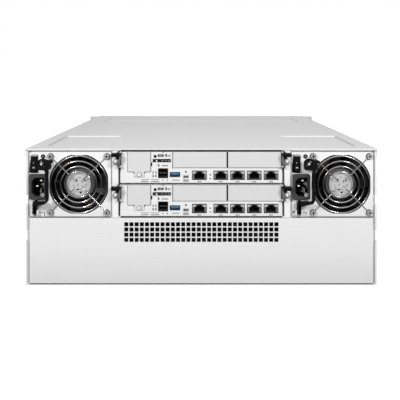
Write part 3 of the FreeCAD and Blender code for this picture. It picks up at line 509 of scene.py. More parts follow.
def surface(name, colour, metallic, roughness, mottle=0.05, scale=40.0, stretch=(1, 1, 1),
            grain=0.0, grain_scale=900.0, spread=0.06, edge=0.0, coat=0.0, glow=0.0, second=None,
            shine=0.5, painted_side_shade=None, fade=None):
    """A finish with mottled colour and gloss, a fine grain, and paler edges, partly wear and partly a
    painted highlight.

    One number as the colour is a grey. second is another colour beyond a limit along an axis,
    painted_side_shade a painted shade for steep faces that leaves tops and undersides bright, and
    fade a painted shade that darkens the colour towards a height.
    """
    if isinstance(colour, float):
        colour = (colour, colour, colour)
    material = bpy.data.materials.new(name)
    material.use_nodes = True
    tree = material.node_tree
    inputs = tree.nodes["Principled BSDF"].inputs
    inputs["Metallic"].default_value = metallic
    inputs["Coat Weight"].default_value = coat
    inputs["Specular IOR Level"].default_value = shine
    place = add_node(tree, "TexCoord", {}).outputs["Object"]
    vector = add_node(tree, "Mapping", {"Scale": stretch, "Vector": place}).outputs["Vector"]
    tint = mixed(tree, noise(tree, vector, scale), shade(colour, 1 - mottle), shade(colour, 1 + mottle))
    if second:
        other, axis, limit = second
        reach = part_of(tree, place, axis)
        if axis == "X":
            reach = maths(tree, "ABSOLUTE", reach)
        tint = mixed(tree, maths(tree, "GREATER_THAN", reach, limit * MM), tint, other)
    # Painted shade: the colour darkens towards the lower height, as if less light reached there.
    if fade:
        share, low, high = fade
        raised = mapped(tree, part_of(tree, place, "Z"), 0.0, 1.0, low * MM, high * MM)
        tint = mixed(tree, raised, shade(colour, share), tint)
    # Painted shade: steep faces take the darker colour, so that a wire looks lit only on its top and
    # underside.
    if painted_side_shade:
        normal = add_node(tree, "NewGeometry", {}).outputs["Normal"]
        level = maths(tree, "ABSOLUTE", part_of(tree, normal, "Z"))
        tint = mixed(tree, mapped(tree, level, 0.0, 1.0, 0.1, 0.75), painted_side_shade, tint)
    relief = {}
    # Paler colour along edges: partly wear, partly a painted highlight where edges would catch the light.
    if edge:
        relief["Normal"] = add_node(tree, "Bevel", {"Radius": 0.5 * MM}, samples=4).outputs["Normal"]
        normal = add_node(tree, "NewGeometry", {}).outputs["Normal"]
        dot = add_node(tree, "VectorMath", {0: relief["Normal"], 1: normal}, operation="DOT_PRODUCT")
        worn_and_lit_edge = mapped(tree, dot.outputs["Value"], edge, 0.0, 0.75, 0.98)
        tint = mixed(tree, worn_and_lit_edge, tint, shade(colour, 1.25))
    tree.links.new(tint, inputs["Base Color"])
    gloss = mapped(tree, noise(tree, vector, scale * 2.3), roughness - spread, roughness + spread)
    tree.links.new(gloss, inputs["Roughness"])
    if grain:
        height = noise(tree, vector, grain_scale, 2.0)
        relief.update({"Strength": grain, "Distance": 0.1 * MM, "Height": height})
        tree.links.new(add_node(tree, "Bump", relief).outputs["Normal"], inputs["Normal"])
    if glow:
        inputs["Emission Color"].default_value = (*colour, 1)
        inputs["Emission Strength"].default_value = glow
    return material


def sheet_finish(name, level, roughness=0.42, mottle=0.03, scale=6, grain=0.10, edge=0.5, metallic=0.04,
                 shine=0.2, **extra):
    """Plated sheet, with faint streaks along x as it left the rolls."""
    rolled = (3, 60, 60)
    return surface(name, level, metallic, roughness, mottle, scale, rolled, grain, 60, 0.05, edge,
                   shine=shine, **extra)


steel = sheet_finish("zinc_sheet", 0.79)
# The rear panel, with painted shade that darkens it towards its foot.
panel_steel = sheet_finish("panel_zinc", 0.81, fade=(0.88, 2, 45))
cover_steel = sheet_finish("cover_zinc", 0.76, 0.55, metallic=0.10, shine=0.1)
bright_steel = sheet_finish("painted_glint_zinc", 0.88, 0.40, 0.02, grain=0.08, edge=0.4)
# The power supplies' sheet, with painted shade that darkens their faces towards the bottom.
supply_steel = sheet_finish("supply_zinc", 0.88, 0.40, 0.02, grain=0.08, edge=0.4, fade=(0.84, 76, 128))
# Beyond 103.05 mm from the middle the faceplate's lugs are near black: painted shade of the gap beside the
# posts.
face_steel = sheet_finish("canister_zinc", 0.81, scale=8, grain=0.08, edge=0.4,
                          second=((0.02, 0.02, 0.02), "X", 103.05))
blank_steel = sheet_finish("blank_zinc", 0.69, scale=8, grain=0.08, edge=0.4)
ear_steel = surface("ear_zinc", (0.56, 0.56, 0.565), 0.15, 0.45, 0.04, 30, grain=0.1, grain_scale=60,
                    edge=0.3)
ear_coat = surface("ear_coat", (0.16, 0.165, 0.17), 0.1, 0.5, 0.08, 60, grain=0.3, edge=0.4)
screw_zinc = surface("screw_zinc", (0.55, 0.55, 0.56), 0.9, 0.28, 0.06, 300)
screw_grey = surface("screw_grey", 0.40, 0.3, 0.4, 0.08, 300)
# Painted glint: small bright dots on the knob's and thumbscrew's faces.
painted_glint_zinc = surface("painted_screw_glint", 0.86, 0.6, 0.25, 0.03, 300)
black = surface("black_nylon", (0.006, 0.006, 0.007), 0.0, 0.55, 0.2, 120, grain=0.35, grain_scale=2500,
                shine=0.04)
thermoset = surface("inlet_thermoset", (0.042, 0.042, 0.045), 0.0, 0.55, 0.12, 90, grain=0.3,
                    grain_scale=2500, shine=0.2)
fan_black = surface("fan_plastic", (0.007, 0.007, 0.008), 0.0, 0.42, 0.2, 100, grain=0.25, grain_scale=2200,
                    shine=0.1)
hub_grey = surface("hub_plastic", (0.06, 0.06, 0.064), 0.0, 0.35, 0.15, 120, grain=0.2, grain_scale=2200)
label = surface("bare_label", 0.50, 0.1, 0.4, 0.05, 120)
label_grey = surface("label_grey", 0.33, 0.1, 0.4, 0.08, 200)
# Black ink for print, also used as painted shade in the guard screws' recesses.
black_ink_and_shade = surface("black_ink_and_shade", 0.012, 0.0, 0.6, 0.2, 400, shine=0.1)
# Dark grey for print, also used as painted shade along edges, seams and gaps.
pale_ink_and_shade = surface("pale_ink_and_shade", 0.19, 0.0, 0.6, 0.1, 400, shine=0.1)
shadow_gap = surface("shadow_gap", 0.10, 0.0, 0.7, 0.1, 400, shine=0.1)
# Guard wire chrome: its steep sides take painted shade, so the rings look bright only at top and bottom.
wire_chrome = surface("wire_chrome", 0.78, 1.0, 0.16, 0.04, 300, spread=0.04, painted_side_shade=(0.03, 0.03, 0.03))
tin = surface("tinned_shell", 0.62, 0.9, 0.25, 0.08, 200, grain=0.1)
gold = surface("contact_gold", (0.72, 0.50, 0.18), 1.0, 0.2, 0.08, 300)
# Blade nickel darkened as painted shade deep in the inlet; the bright blade tips are painted glints.
nickel_in_painted_shade = surface("blade_nickel", (0.16, 0.155, 0.15), 0.9, 0.3, 0.06, 300)
painted_blade_glint = surface("blade_tip", (0.75, 0.74, 0.72), 0.6, 0.3, 0.06, 300)
socket_black = surface("socket_black", (0.010, 0.009, 0.009), 0.0, 0.6, 0.3, 200, grain=0.2, shine=0.1)
moulded_grey = surface("moulded_grey", (0.21, 0.21, 0.215), 0.0, 0.5, 0.1, 200, grain=0.2, shine=0.2)
usb_blue = surface("usb_blue", (0.012, 0.085, 0.23), 0.0, 0.4, 0.12, 250, grain=0.1)
usb_pale = surface("usb_pale", (0.06, 0.18, 0.33), 0.0, 0.35, 0.12, 250)
usb_navy = surface("usb_navy", (0.008, 0.025, 0.07), 0.0, 0.4, 0.12, 250)
jack_grey = surface("jack_grey", 0.05, 0.0, 0.5, 0.25, 500, grain=0.2, shine=0.2)
light_pipe = surface("light_pipe", (0.50, 0.50, 0.47), 0.0, 0.25, 0.08, 300, coat=0.4)
# Near black painted shade for gaps, seams and holes.
painted_gap_shade = surface("painted_gap_shade", 0.015, 0.0, 0.8, 0.2, 100, shine=0.05)
lead_red = surface("lead_red", (0.07, 0.018, 0.015), 0.0, 0.5, 0.15, 300, shine=0.2)
lead_yellow = surface("lead_yellow", (0.05, 0.042, 0.018), 0.0, 0.5, 0.15, 300, shine=0.2)
bezel_grey = surface("bezel_grey", (0.075, 0.077, 0.08), 0.0, 0.5, 0.12, 90, grain=0.35, grain_scale=2400)
lever_silver = surface("lever_silver", (0.50, 0.51, 0.52), 0.6, 0.36, 0.05, 40, (3, 60, 60), 0.08, 60)
button_blue = surface("button_blue", (0.03, 0.10, 0.22), 0.0, 0.4, 0.1, 200, grain=0.2)
drive_cast = surface("drive_cast", (0.42, 0.43, 0.44), 0.9, 0.4, 0.08, 80, grain=0.3)
paper = surface("blank_paper", (0.78, 0.78, 0.76), 0.0, 0.6, 0.03, 150)
green_lens = surface("green_lens", (0.10, 0.45, 0.14), 0.0, 0.2, 0.1, 300, coat=0.5, glow=0.15)


def board_finish(name, other, axis, limit, colour=(0.008, 0.06, 0.024)):
    """A coated board, with another colour beyond a limit along an axis for what stands on it."""
    return surface(name, colour, 0.1, 0.35, 0.15, 150, grain=0.2, coat=0.3, second=(other, axis, limit))


# Camera, light and floor

def make_camera():
    data = bpy.data.cameras.new("camera")
    data.lens = lens
    data.sensor_width = sensor
    data.shift_x = shift_right
    data.shift_y = shift_down
    camera = bpy.data.objects.new("camera", data)
    camera.location = Vector(camera_place) * MM
    camera.rotation_euler = (math.radians(90), 0, 0)
    bpy.context.scene.collection.objects.link(camera)
    bpy.context.scene.camera = camera


def seen_share(tree):
    """1 for rays from the camera, straight, mirrored or through glass, else 0."""
    path = add_node(tree, "LightPath", {}).outputs
    return maths(tree, "MAXIMUM", maths(tree, "MAXIMUM", path["Is Camera Ray"], path["Is Glossy Ray"]),
                 path["Is Transmission Ray"])


def blend(tree, share, first, second):
    return add_node(tree, "MixShader", {0: share, 1: first, 2: second}).outputs["Shader"]


def make_world(level):
    world = bpy.data.worlds.new("studio")
    bpy.context.scene.world = world
    world.use_nodes = True
    tree = world.node_tree
    tree.nodes.clear()
    dim, white = [add_node(tree, "Background", {"Strength": strength, "Color": (1, 1, 1, 1)})
                  for strength in (level, 1.0)]
    shown = blend(tree, seen_share(tree), dim.outputs["Background"], white.outputs["Background"])
    add_node(tree, "OutputWorld", {"Surface": shown})


def make_floor():
    """A pale floor that goes white away from the object and keeps its shadow."""
    data = bpy.data.meshes.new("floor")
    reach = 30.0
    drop = -0.2 * MM
    corners = [(-reach, -reach, drop), (reach, -reach, drop), (reach, reach, drop), (-reach, reach, drop)]
    data.from_pydata(corners, [], [(0, 1, 2, 3)])
    floor = bpy.data.objects.new("floor", data)
    bpy.context.scene.collection.objects.link(floor)
    material = bpy.data.materials.new("floor_white")
    material.use_nodes = True
    tree = material.node_tree
    tree.nodes.clear()
    grey = (floor_grey, floor_grey, floor_grey, 1)
    matt = add_node(tree, "BsdfDiffuse", {"Color": grey}).outputs["BSDF"]
    white = add_node(tree, "Emission", {"Strength": 1.0}).outputs["Emission"]
    place = add_node(tree, "TexCoord", {}).outputs["Object"]
    far = add_node(tree, "VectorMath", {0: place}, operation="LENGTH").outputs["Value"]
    share = seen_share(tree)
    faded = maths(tree, "MULTIPLY", mapped(tree, far, 0.0, 1.0, 0.35, 1.2), share)
    lift = maths(tree, "MULTIPLY", share, floor_lift)
    lifted = add_node(tree, "Emission", {"Strength": lift}).outputs["Emission"]
    total = add_node(tree, "AddShader", {0: blend(tree, faded, matt, white), 1: lifted})
    add_node(tree, "OutputMaterial", {"Surface": total.outputs["Shader"]})
    data.materials.append(material)


def make_lamp(name, place, aim, size, power):
    data = bpy.data.lights.new(name, "AREA")
    data.size = size
    data.energy = power
    lamp = bpy.data.objects.new(name, data)
    lamp.location = place
    lamp.rotation_euler = (Vector(aim) - Vector(place)).to_track_quat("-Z", "Y").to_euler()
    bpy.context.scene.collection.objects.link(lamp)


make_camera()
make_world(world_level)
make_floor()
for lamp in lamps:
    make_lamp(*lamp)


# CAD nodes that stay, each with its finish

def dress(node, material):
    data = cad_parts[node].data
    data.materials.clear()
    data.materials.append(material)


rear_y = box_mm("rear_vent_panel")[0].y
sheets = {"chassis_shell": steel, "top_cover": cover_steel, "rear_vent_panel": panel_steel,
          "bay_frame": bright_steel, "rack_ears": ear_steel, "drive_cage": ear_coat}
for node, material in sheets.items():
    dress(node, material)
for level in ("lower", "upper"):
    canister = "canister_" + level
    dress(canister + "_case", steel)
    dress(canister + "_faceplate", face_steel)
    dress(canister + "_covers", blank_steel)
    board = box_mm(canister + "_case")[0].z + board_top
    dress(canister + "_board", board_finish("canister_board_" + level, (0.5, 0.5, 0.5), "Z",
                                            board + canister_parts_base))
for side in ("left", "right"):
    supply = "psu_" + side
    dress(supply + "_case", supply_steel)
    board = box_mm(supply + "_board")[0].z
    dress(supply + "_board", board_finish("supply_board_" + side, (0.35, 0.35, 0.36), "Z",
                                          board + supply_parts_base, (0.12, 0.07, 0.02)))
midplane_front = box_mm("midplane_board")[1].y
dress("midplane_board", board_finish("midplane_finish", (0.03, 0.03, 0.03), "Y",
                                     midplane_front - midplane_parts_depth))


# Power supplies

def smooth_route(points, steps=6):
    """Points on a smooth curve through the given ones."""
    points = [Vector(point) for point in points]
    ends = [points[0] * 2 - points[1]] + points + [points[-1] * 2 - points[-2]]
    route = []
    for index in range(len(points) - 1):
        a, b, c, d = ends[index:index + 4]
        for step in range(steps):
            t = step / steps
            route.append((b * 2 + (c - a) * t + (a * 2 - b * 5 + c * 4 - d) * t * t
                          + (b * 3 - a - c * 3 + d) * t ** 3) / 2)
    route.append(points[-1])
    return route


def fan_pieces(supply, origin):
    """The fan's housing with its leads, and the wire guard with its screws."""
    housing = Shape(origin)
    corners = [(x * fan_hole_reach, z * fan_hole_reach) for x in (-1, 1) for z in (-1, 1)]
    holes = [circle((0, 0), fan_bore, 72)] + [circle(corner, fan_hole_radius, 20) for corner in corners]
    across = (-fan_half, fan_half)
    housing.prism(rounded(across, across, 4), (fan_front, fan_back), fan_black, holes, bevel=0.5)
    rear = (boss_front, fan_back)
    housing.rod((0, 0), boss_radius, rear, fan_black, 48, 0.6)
    for turn in range(4):
        start = Vector(polar((0, 0), boss_radius - 1, 90 * turn + strut_turns[0]))
        end = Vector(polar((0, 0), fan_bore + 0.6, 90 * turn + strut_turns[1]))
        along = end - start
        half = Vector((-along.y, along.x)).normalized() * strut_width / 2
        housing.prism([start - half, end - half, end + half, start + half], rear, fan_black, bevel=0.6)
    for number, material in enumerate((lead_red, lead_yellow, fan_black)):
        shift = number * 1.5
        route = [(x + shift, y + 0.5 * number, z - shift) for x, y, z in smooth_route(lead_route)]
        housing.wire(route, lead_radius, material)
    housing.make(supply + "_fan_body", supply, [supply + "_fan_frame"])

    guard = Shape(origin)
    for radius in guard_radii:
        guard.hoop((0, 0), radius, -guard_wire, guard_wire, wire_chrome)
    for x, z in corners:
        reach = math.hypot(x, z)
        ends = [(x * share, -guard_wire, z * share)
                for share in (spoke_start / reach, 1 - eyelet_radius * 0.9 / reach)]
        guard.wire(ends, guard_wire * 0.98, wire_chrome)
        guard.hoop((x, z), eyelet_radius - 0.6, -guard_wire, guard_wire * 0.95, wire_chrome, 32)
        guard.screw((x, z), guard_screw_radius, -1.5, -3.4, screw_grey)
        # Painted shade: a dark cross in each screw's recess, and a dark ring as the shadow under each
        # eyelet.
        guard.prism(cross((x, z), 2.3, 0.6), (-3.42, -3.0), black_ink_and_shade)
        inner, outer = guard_screw_radius + 0.1, eyelet_radius + 0.4
        rim = [(inner, -1.7), (outer, -1.5), (outer, -0.05), (inner, -0.05)]
        guard.lathe((x, z), rim, shadow_gap, 32)
    guard.make(supply + "_fan_guard", supply)


def rotor_piece(supply, origin):
    shape = Shape(origin)
    inner = hub_radius - 1.6
    cup = hub_front + 3
    spigot = hub_back - 6
    profile = [(0, hub_front), (hub_radius - 1.5, hub_front), (hub_radius - 0.4, hub_front + 0.5),
               (hub_radius, hub_front + 1.6), (hub_radius, hub_back), (inner, hub_back), (inner, cup),
               (1.6, cup), (1.6, spigot), (0, spigot)]
    shape.lathe((0, 0), profile, hub_grey, 64)
    shape.hoop((0, 0), hub_radius - 2.4, hub_front - 0.05, 0.35, hub_grey)
    front, back = hub_front - 0.25, hub_front + 0.1
    disc = [(0, front), (label_radius - 0.15, front), (label_radius, hub_front - 0.1), (label_radius, back),
            (0, back)]
    shape.lathe((0, 0), disc, label, 64)
    raised = (hub_front - 0.3, hub_front - 0.2)
    shape.lathe((0, 0), rectangle((label_radius - 1.6, label_radius - 1.2), raised), label_grey, 64)
    for number, (x, z, width, height) in enumerate(hub_bars):
        shape.pad((x, z), (width, height), raised, shadow_gap if number < 3 else pale_ink_and_shade, 0.04)
    shape.block((-3.4, -0.2), raised, (-8.1, -6.4), black_ink_and_shade, 0.04)
    shape.prism([(-0.7, -9.9), (3.6, -9.9), (1.5, -13.0)], raised, black_ink_and_shade)
    root = hub_radius - 0.8
    for number in range(blade_count):
        sections = []
        for share in (0.0, 0.25, 0.5, 0.75, 1.0):
            radius = root + share * (blade_tip - root)
            chord = blade_chord[0] + share * (blade_chord[1] - blade_chord[0])
            pitch = math.radians(blade_pitches[0] + share * (blade_pitches[1] - blade_pitches[0]))
            lead = 2 * math.pi * number / blade_count + blade_sweep * share * share
            section = []
            for along, rise in blade_section:
                across = along * chord * math.cos(pitch) - rise * math.sin(pitch)
                depth = blade_middle + along * chord * math.sin(pitch) + rise * math.cos(pitch)
                angle = lead + across / radius
                section.append((radius * math.cos(angle), depth, radius * math.sin(angle)))
            sections.append(section)
        shape.loft(sections, fan_black)
    body = supply + "_fan_rotor"
    shape.make(body + "_wheel", body, [body])


def inlet_piece(supply, origin):
    shape = Shape(origin)
    x, z = around(inlet_middle, inlet_size)
    half_width, half_height = inlet_cavity[0] / 2, inlet_cavity[1] / 2
    cut = inlet_chamfer
    hole = [(-half_width, cut - half_height), (cut - half_width, -half_height), (half_width, -half_height),
            (half_width, half_height), (cut - half_width, half_height), (-half_width, half_height - cut)]
    hole = moved(hole, inlet_middle)
    shape.prism(rounded(x, z, 1.4), (-inlet_proud, 0), thermoset, [hole], bevel=0.45)
    x, z = inset(x, inlet_body_inset), inset(z, inlet_body_inset)
    shape.prism(rectangle(x, z), (0, inlet_floor), socket_black, [hole])
    shape.block(x, (inlet_floor, inlet_floor + 2.5), z, socket_black)
    wide, high = blade_size
    for row in (-1, 0, 1):
        middle = (inlet_middle[0] + (blade_offset if row else -blade_offset),
                  inlet_middle[1] + row * blade_pitch)
        # Blades dark with painted shade, two with a painted glint on their tips, each in a thermoset
        # collar.
        shape.pad(middle, blade_size, (2.5, inlet_floor), nickel_in_painted_shade, 0.35)
        if row >= 0:
            shape.pad(middle, (wide - 1.4, high - 0.1), (2.3, 3.0), painted_blade_glint, 0.1)
        shape.pad(middle, (wide + 2.2, high + 2.0), (inlet_floor - 3, inlet_floor), thermoset, 0.3)
    right = inlet_middle[0] + half_width
    wedge = [(right - 4.4, 41.0), (right - 0.3, 43.4), (right - 0.3, 36.4), (right - 1.6, 40.0)]
    shape.prism(wedge, (-2.5, inlet_floor), moulded_grey, bevel=0.3)
    shape.block((right - 5.0, right - 3.6), (-2.5, inlet_floor), (30.6, 36.0), moulded_grey, 0.3)
    shape.rod((right - 1.9, 28.2), 2.7, (-inlet_proud - 0.15, -inlet_proud + 0.3), label_grey, 28, 0.1)
    shape.make(supply + "_inlet_body", supply, [supply + "_inlet"])


def switch_piece(supply, origin):
    shape = Shape(origin)
    x, z = around(switch_middle, switch_size)
    well = rectangle(inset(x, switch_rim), inset(z, switch_rim))
    shape.prism(rounded(x, z, 0.8, 3), (-switch_proud, 0), black, [well], bevel=0.25)
    shape.block(inset(x, 0.3), about(-switch_proud, 0.2), (z[1] - 2.0, z[1] - 0.1), label_grey, 0.1)
    x, z = inset(x, 0.4), inset(z, 0.4)
    back = rocker_sink + 3
    shape.prism(rectangle(x, z), (0, back), socket_black, [well])
    shape.block(x, (back, switch_depth), z, socket_black)
    shape.make(supply + "_switch_frame", supply)


def rocker_piece(supply, origin):
    shape = Shape(origin)
    turn = math.radians(-rocker_tilt)

    def tilted(depth, z):
        return (depth * math.cos(turn) - z * math.sin(turn),
                switch_middle[1] + depth * math.sin(turn) + z * math.cos(turn))

    def face_point(share, proud=0.0):
        """A point of the hollow face, from -1 at its foot to 1 at its top."""
        dip = rocker_dip + (rocker_crest - rocker_dip) * share * share
        return tilted(-dip - proud, share * rocker_half)

    steps = 12
    outline = [face_point(2 * step / steps - 1) for step in range(steps + 1)]
    outline += [tilted(rocker_sink, rocker_half - 2), tilted(rocker_sink, 2 - rocker_half)]
    middle = switch_middle[0]
    shape.prism(outline, about(middle, rocker_width / 2), black, bevel=0.3, axis="x")
    depth, z = face_point(-0.58, 0.02)
    shape.lathe((middle, z), rectangle((1.5, 0.75), (depth - 0.1, depth + 0.35)), paper, 28)
    depth, z = face_point(0.12, 0.02)
    shape.block((middle - 0.8, middle - 0.2), (depth - 0.1, depth + 0.3), about(z, 0.8), light_pipe)
    body = supply + "_rocker"
    shape.make(body + "_cap", body, [body])


def lever_pieces(supply, origin):
    """The ejector lever, and the captive knob in its eye."""
    body = supply + "_lever"
    arm = Shape(origin)
    head_left = eye[0] - eye_radius
    foot_left, foot_base, foot_top = foot
    tip, tip_base, tip_top = wing_tip
    outline = [(foot_left, foot_base)] + arc(foot_corner, foot_radius, foot_rise - 90, 0, 10)
    outline += [(grip[1], head_base), (head_right, head_base + 1.7), (head_right, eye[1] + 0.3),
                (tip, tip_base), (tip, tip_top), (head_right, head_crown),
                (eye[0] + eye_radius, head_crown)]
    outline += arc(eye, eye_radius, 62, 180, 14)
    outline += [(head_left, head_base + 1.5), (head_left + 1.5, head_base), (grip[0] - 1.6, head_base),
                (grip[0], head_base - 1.6), (grip[0], foot_top + 1.6), (grip[0] - 1.6, foot_top),
                (foot_left, foot_top)]
    arm.prism(outline, (lever_front, lever_back), black, [circle(eye, knob_radius + 0.45, 36)],
              bevel=0.7, segments=3)
    bend = arc(foot_corner, foot_radius, foot_rise - 90, 0, 1)[0]
    under = [(foot_left, foot_base), bend, (bend[0], foot_top - 0.3), (foot_left, foot_top - 0.3)]
    depth, height = lever_pivot
    arm.prism(under, (lever_back - 0.8, depth), black, bevel=0.4)
    arm.block(root, (lever_front + 4.0, depth), (foot_base, foot_top), black, 0.4)
    front, back = depth - pivot_radius, depth + pivot_radius
    pin_hole = [circle(lever_pivot, pin_bore, 20)]
    heel = arc(lever_pivot, pivot_radius, 180, 360, 16) + [(back, foot_base), (front, foot_base)]
    arm.prism(heel, latch_heel, black, pin_hole, bevel=0.3, axis="x")
    drop = 1.3
    flat = math.sqrt(pivot_radius ** 2 - drop ** 2)
    cheek = [(depth - flat, height - drop), (depth + flat, height - drop), (back, height), (back, foot_top),
             (front, foot_top), (front, height)]
    arm.prism(cheek, (root[0], latch[1]), black, pin_hole, bevel=0.4, axis="x")
    cheek[3:5] = [(back, foot_top - 2.6), (front, foot_top - 2.6)]
    arm.prism(cheek, (latch[0], root[0] + 0.5), black, pin_hole, bevel=0.4, axis="x")
    for rib in range(7):
        z = 27 + rib * 4.4
        arm.block(inset(grip, 0.9), (lever_front, lever_front + 0.4), (z, z + 1.5), black, 0.2)
    arm.make(body + "_arm", body, [body])

    knob = Shape(origin)
    core = knob_radius - 0.9
    rim = knurled(eye, knob_radius, 0.22, 48)
    knob.prism(rim, (lever_front + 0.2, lever_back), black, [circle(eye, core, 36)])
    knob.rod(eye, core, (lever_front + 1.4, lever_back - 0.2), black, 36)
    # Painted highlight: a light crescent on the knob's upper rim, and a painted glint dot on its screw.
    painted_lit_crest = arc(eye, core, 20, 150, 16) + arc((eye[0], eye[1] - 0.4), core - 0.5, 150, 20, 16)
    knob.prism(painted_lit_crest, (lever_front - 0.4, lever_front + 1.6), moulded_grey)
    middle = (eye[0] - 0.5, eye[1] - 0.4)
    knob.prism(circle(middle, core - 1.1, 28), (lever_front - 0.9, lever_front + 1.6), screw_grey,
               [rectangle(*around(middle, (1.4, 0.4)))], bevel=0.3)
    knob.rod((middle[0], middle[1] + 0.5), 0.6, (lever_front - 1.0, lever_front), painted_glint_zinc, 16)
    knob.rod(eye, 1.8, (lever_back, -3.1), screw_zinc, 24)
    knob.make(body + "_knob", body)


def supply_trim(supply, origin):
    """The lamp beside the switch, painted shade left of the switch, under the top edge, in a small hole and
    in the latch plate's seam, and two painted highlights on the rear face.
    """
    shape = Shape(origin)
    inner = lamp_radius - 1.8
    ring = [(inner, -0.7), (lamp_radius - 0.3, -0.7), (lamp_radius, -0.4), (lamp_radius, 0.2), (inner, 0.2)]
    shape.lathe(lamp_place, ring, black, 36)
    dome = [(0, -0.95), (inner * 0.5, -0.85), (inner * 0.9, -0.5), (inner, 0.1), (0, 0.2)]
    shape.lathe(lamp_place, dome, label_grey, 28)
    # Painted shadow: a black wedge left of the switch.
    right = switch_middle[0] - switch_size[0] / 2 + 0.2
    switch_shadow = [(0.1, 55.6), (right, 55.6), (right, 76.0), (1.3, 72.0), (0.4, 66.0), (0.1, 60.0)]
    shape.prism(switch_shadow, (-0.4, 0.1), black, bevel=0.1)
    # Painted shade: a dark line under the top edge, a dark dot for a small hole, and dark lines in the
    # latch plate's seam.
    shape.block((0.6, 102.8), (-0.06, 0.1), (82.0, 82.65), pale_ink_and_shade)
    shape.rod((2.6, 6.4), 1.0, (-0.08, 0.1), painted_gap_shade, 20)
    shape.block((0.2, 18.9), (-0.12, 0.1), (4.85, 5.5), shadow_gap)
    shape.block((18.8, 19.5), (-0.12, 0.1), (0.4, 5.5), shadow_gap)
    # Painted highlights: two bright strips standing proud as lit parts of the face.
    shape.block((0.3, 19.5), (-0.9, 0.1), (54.1, 55.4), bright_steel, 0.1)
    shape.block((1.1, 16.8), (-1.4, 0.1), (19.8, 21.4), bright_steel, 0.1)
    shape.make(supply + "_trim", supply)


for supply in ("psu_left", "psu_right"):
    low = box_mm(supply + "_case")[0]
    corner = (low.x, rear_y, low.z)
    fan_low, fan_high = box_mm(supply + "_fan_frame")
    fan_middle = ((fan_low.x + fan_high.x) / 2, rear_y, (fan_low.z + fan_high.z) / 2)
    fan_pieces(supply, fan_middle)
    rotor_piece(supply, fan_middle)
    for make_piece in (inlet_piece, switch_piece, rocker_piece, lever_pieces, supply_trim):
        make_piece(supply, corner)


# Canisters

def network_jack(shape, left):
    half, sill, shoulder, notch_foot, notch_top = jack_opening
    x, z = spans((left, board_top), jack_size)
    foot = (left + jack_size[0] / 2, board_top)
    edge = [(half, sill), (half, shoulder), (notch_half + 1.0, notch_foot), (notch_half, notch_foot + 0.5),
            (notch_half, notch_top)]
    opening = moved([(-half, sill)] + edge + [(-u, v) for u, v in reversed(edge[1:])], foot)
    shape.prism(rounded(x, z, 0.5, 3), (-port_proud, jack_depth), jack_grey, [opening], bevel=0.15)
    shape.block(x, (jack_depth, jack_back), z, socket_black)
    for shift in evenly(*jack_contacts):
        u = foot[0] + shift
        bent = [(u, 12.5, board_top + 7.0), (u, 9.0, board_top + 6.2), (u, 3.0, board_top + 3.4)]
        shape.wire(bent, 0.22, gold, 6)
    window = [(8.5, 10.6), (3.9, 10.6), (4.5, 9.2), (6.6, 8.2), (8.5, 6.9)]
    front, back = -port_proud - 0.12, -port_proud + 0.1
    for side in (-1, 1):
        shape.prism(moved(window, foot, side), (front, back), light_pipe, bevel=0.08)
        shape.pad((foot[0] + side * 7.5, board_top + 4.0), (1.5, 4.6), (-port_proud - 0.15, back),
                  moulded_grey, 0.1)


def shell_port(shape, corner, size, skin, depth, metal):
    """A drawn metal shell with a dark inside."""
    x, z = spans(corner, size)
    inner_x, inner_z = inset(x, skin), inset(z, skin)
    hole = rounded(inner_x, inner_z, 0.5, 3)
    shape.prism(rounded(x, z, 0.7, 3), (-port_proud, depth), metal, [hole], bevel=0.15)
    shape.block(inner_x, (depth - 1.0, depth), inner_z, socket_black)
    return x, z


def port_set(canister, origin):
    shape = Shape(origin)
    for left in jack_lefts:
        network_jack(shape, left)
    # The expansion port's shell is drawn near black: painted shade for the dark surround and inside of the
    # port.
    x, z = shell_port(shape, expansion_corner, expansion_size, 0.6, port_depth, painted_gap_shade)
    middle = (z[0] + z[1]) / 2
    shape.block(inset(x, 0.9), (1.2, 12.9), (z[0] + 0.9, z[0] + 2.6), socket_black, 0.1)
    shape.block(inset(x, 1.6), (1.0, 13), about(middle, 0.5), jack_grey, 0.15)
    for shift in evenly(*expansion_contacts):
        u = (x[0] + x[1]) / 2 + shift
        shape.block(about(u, 0.2), (3.6, 12.5), (middle + 0.68, middle + 0.78), gold)
    for share in (0.28, 0.72):
        u = x[0] + share * expansion_size[0]
        for spring in ((z[0] + 0.6, z[0] + 0.95), (z[1] - 0.95, z[1] - 0.6)):
            shape.block(about(u, 0.9), (0.6, 7.0), spring, moulded_grey, 0.08)
    x, z = shell_port(shape, usb_corner, usb_size, 0.6, port_depth, usb_navy)
    shape.block(inset(x, 0.6), (3.2, 13), inset(z, 0.6), usb_navy, 0.15)
    shape.block(inset(x, 1.1), (0.5, 3.4), (z[1] - 3.7, z[1] - 0.9), usb_blue, 0.2)
    shape.block(inset(x, 1.4), (0.3, 1.0), (z[1] - 2.4, z[1] - 1.1), usb_pale, 0.1)
    x, z = shell_port(shape, micro_corner, micro_size, 0.5, 6.0, tin)
    shape.block(inset(x, 1.6), (0.8, 5), (z[0] + 1.1, z[0] + 1.7), label_grey, 0.1)
    shape.make(canister + "_port_set", canister, [canister + "_ports"])


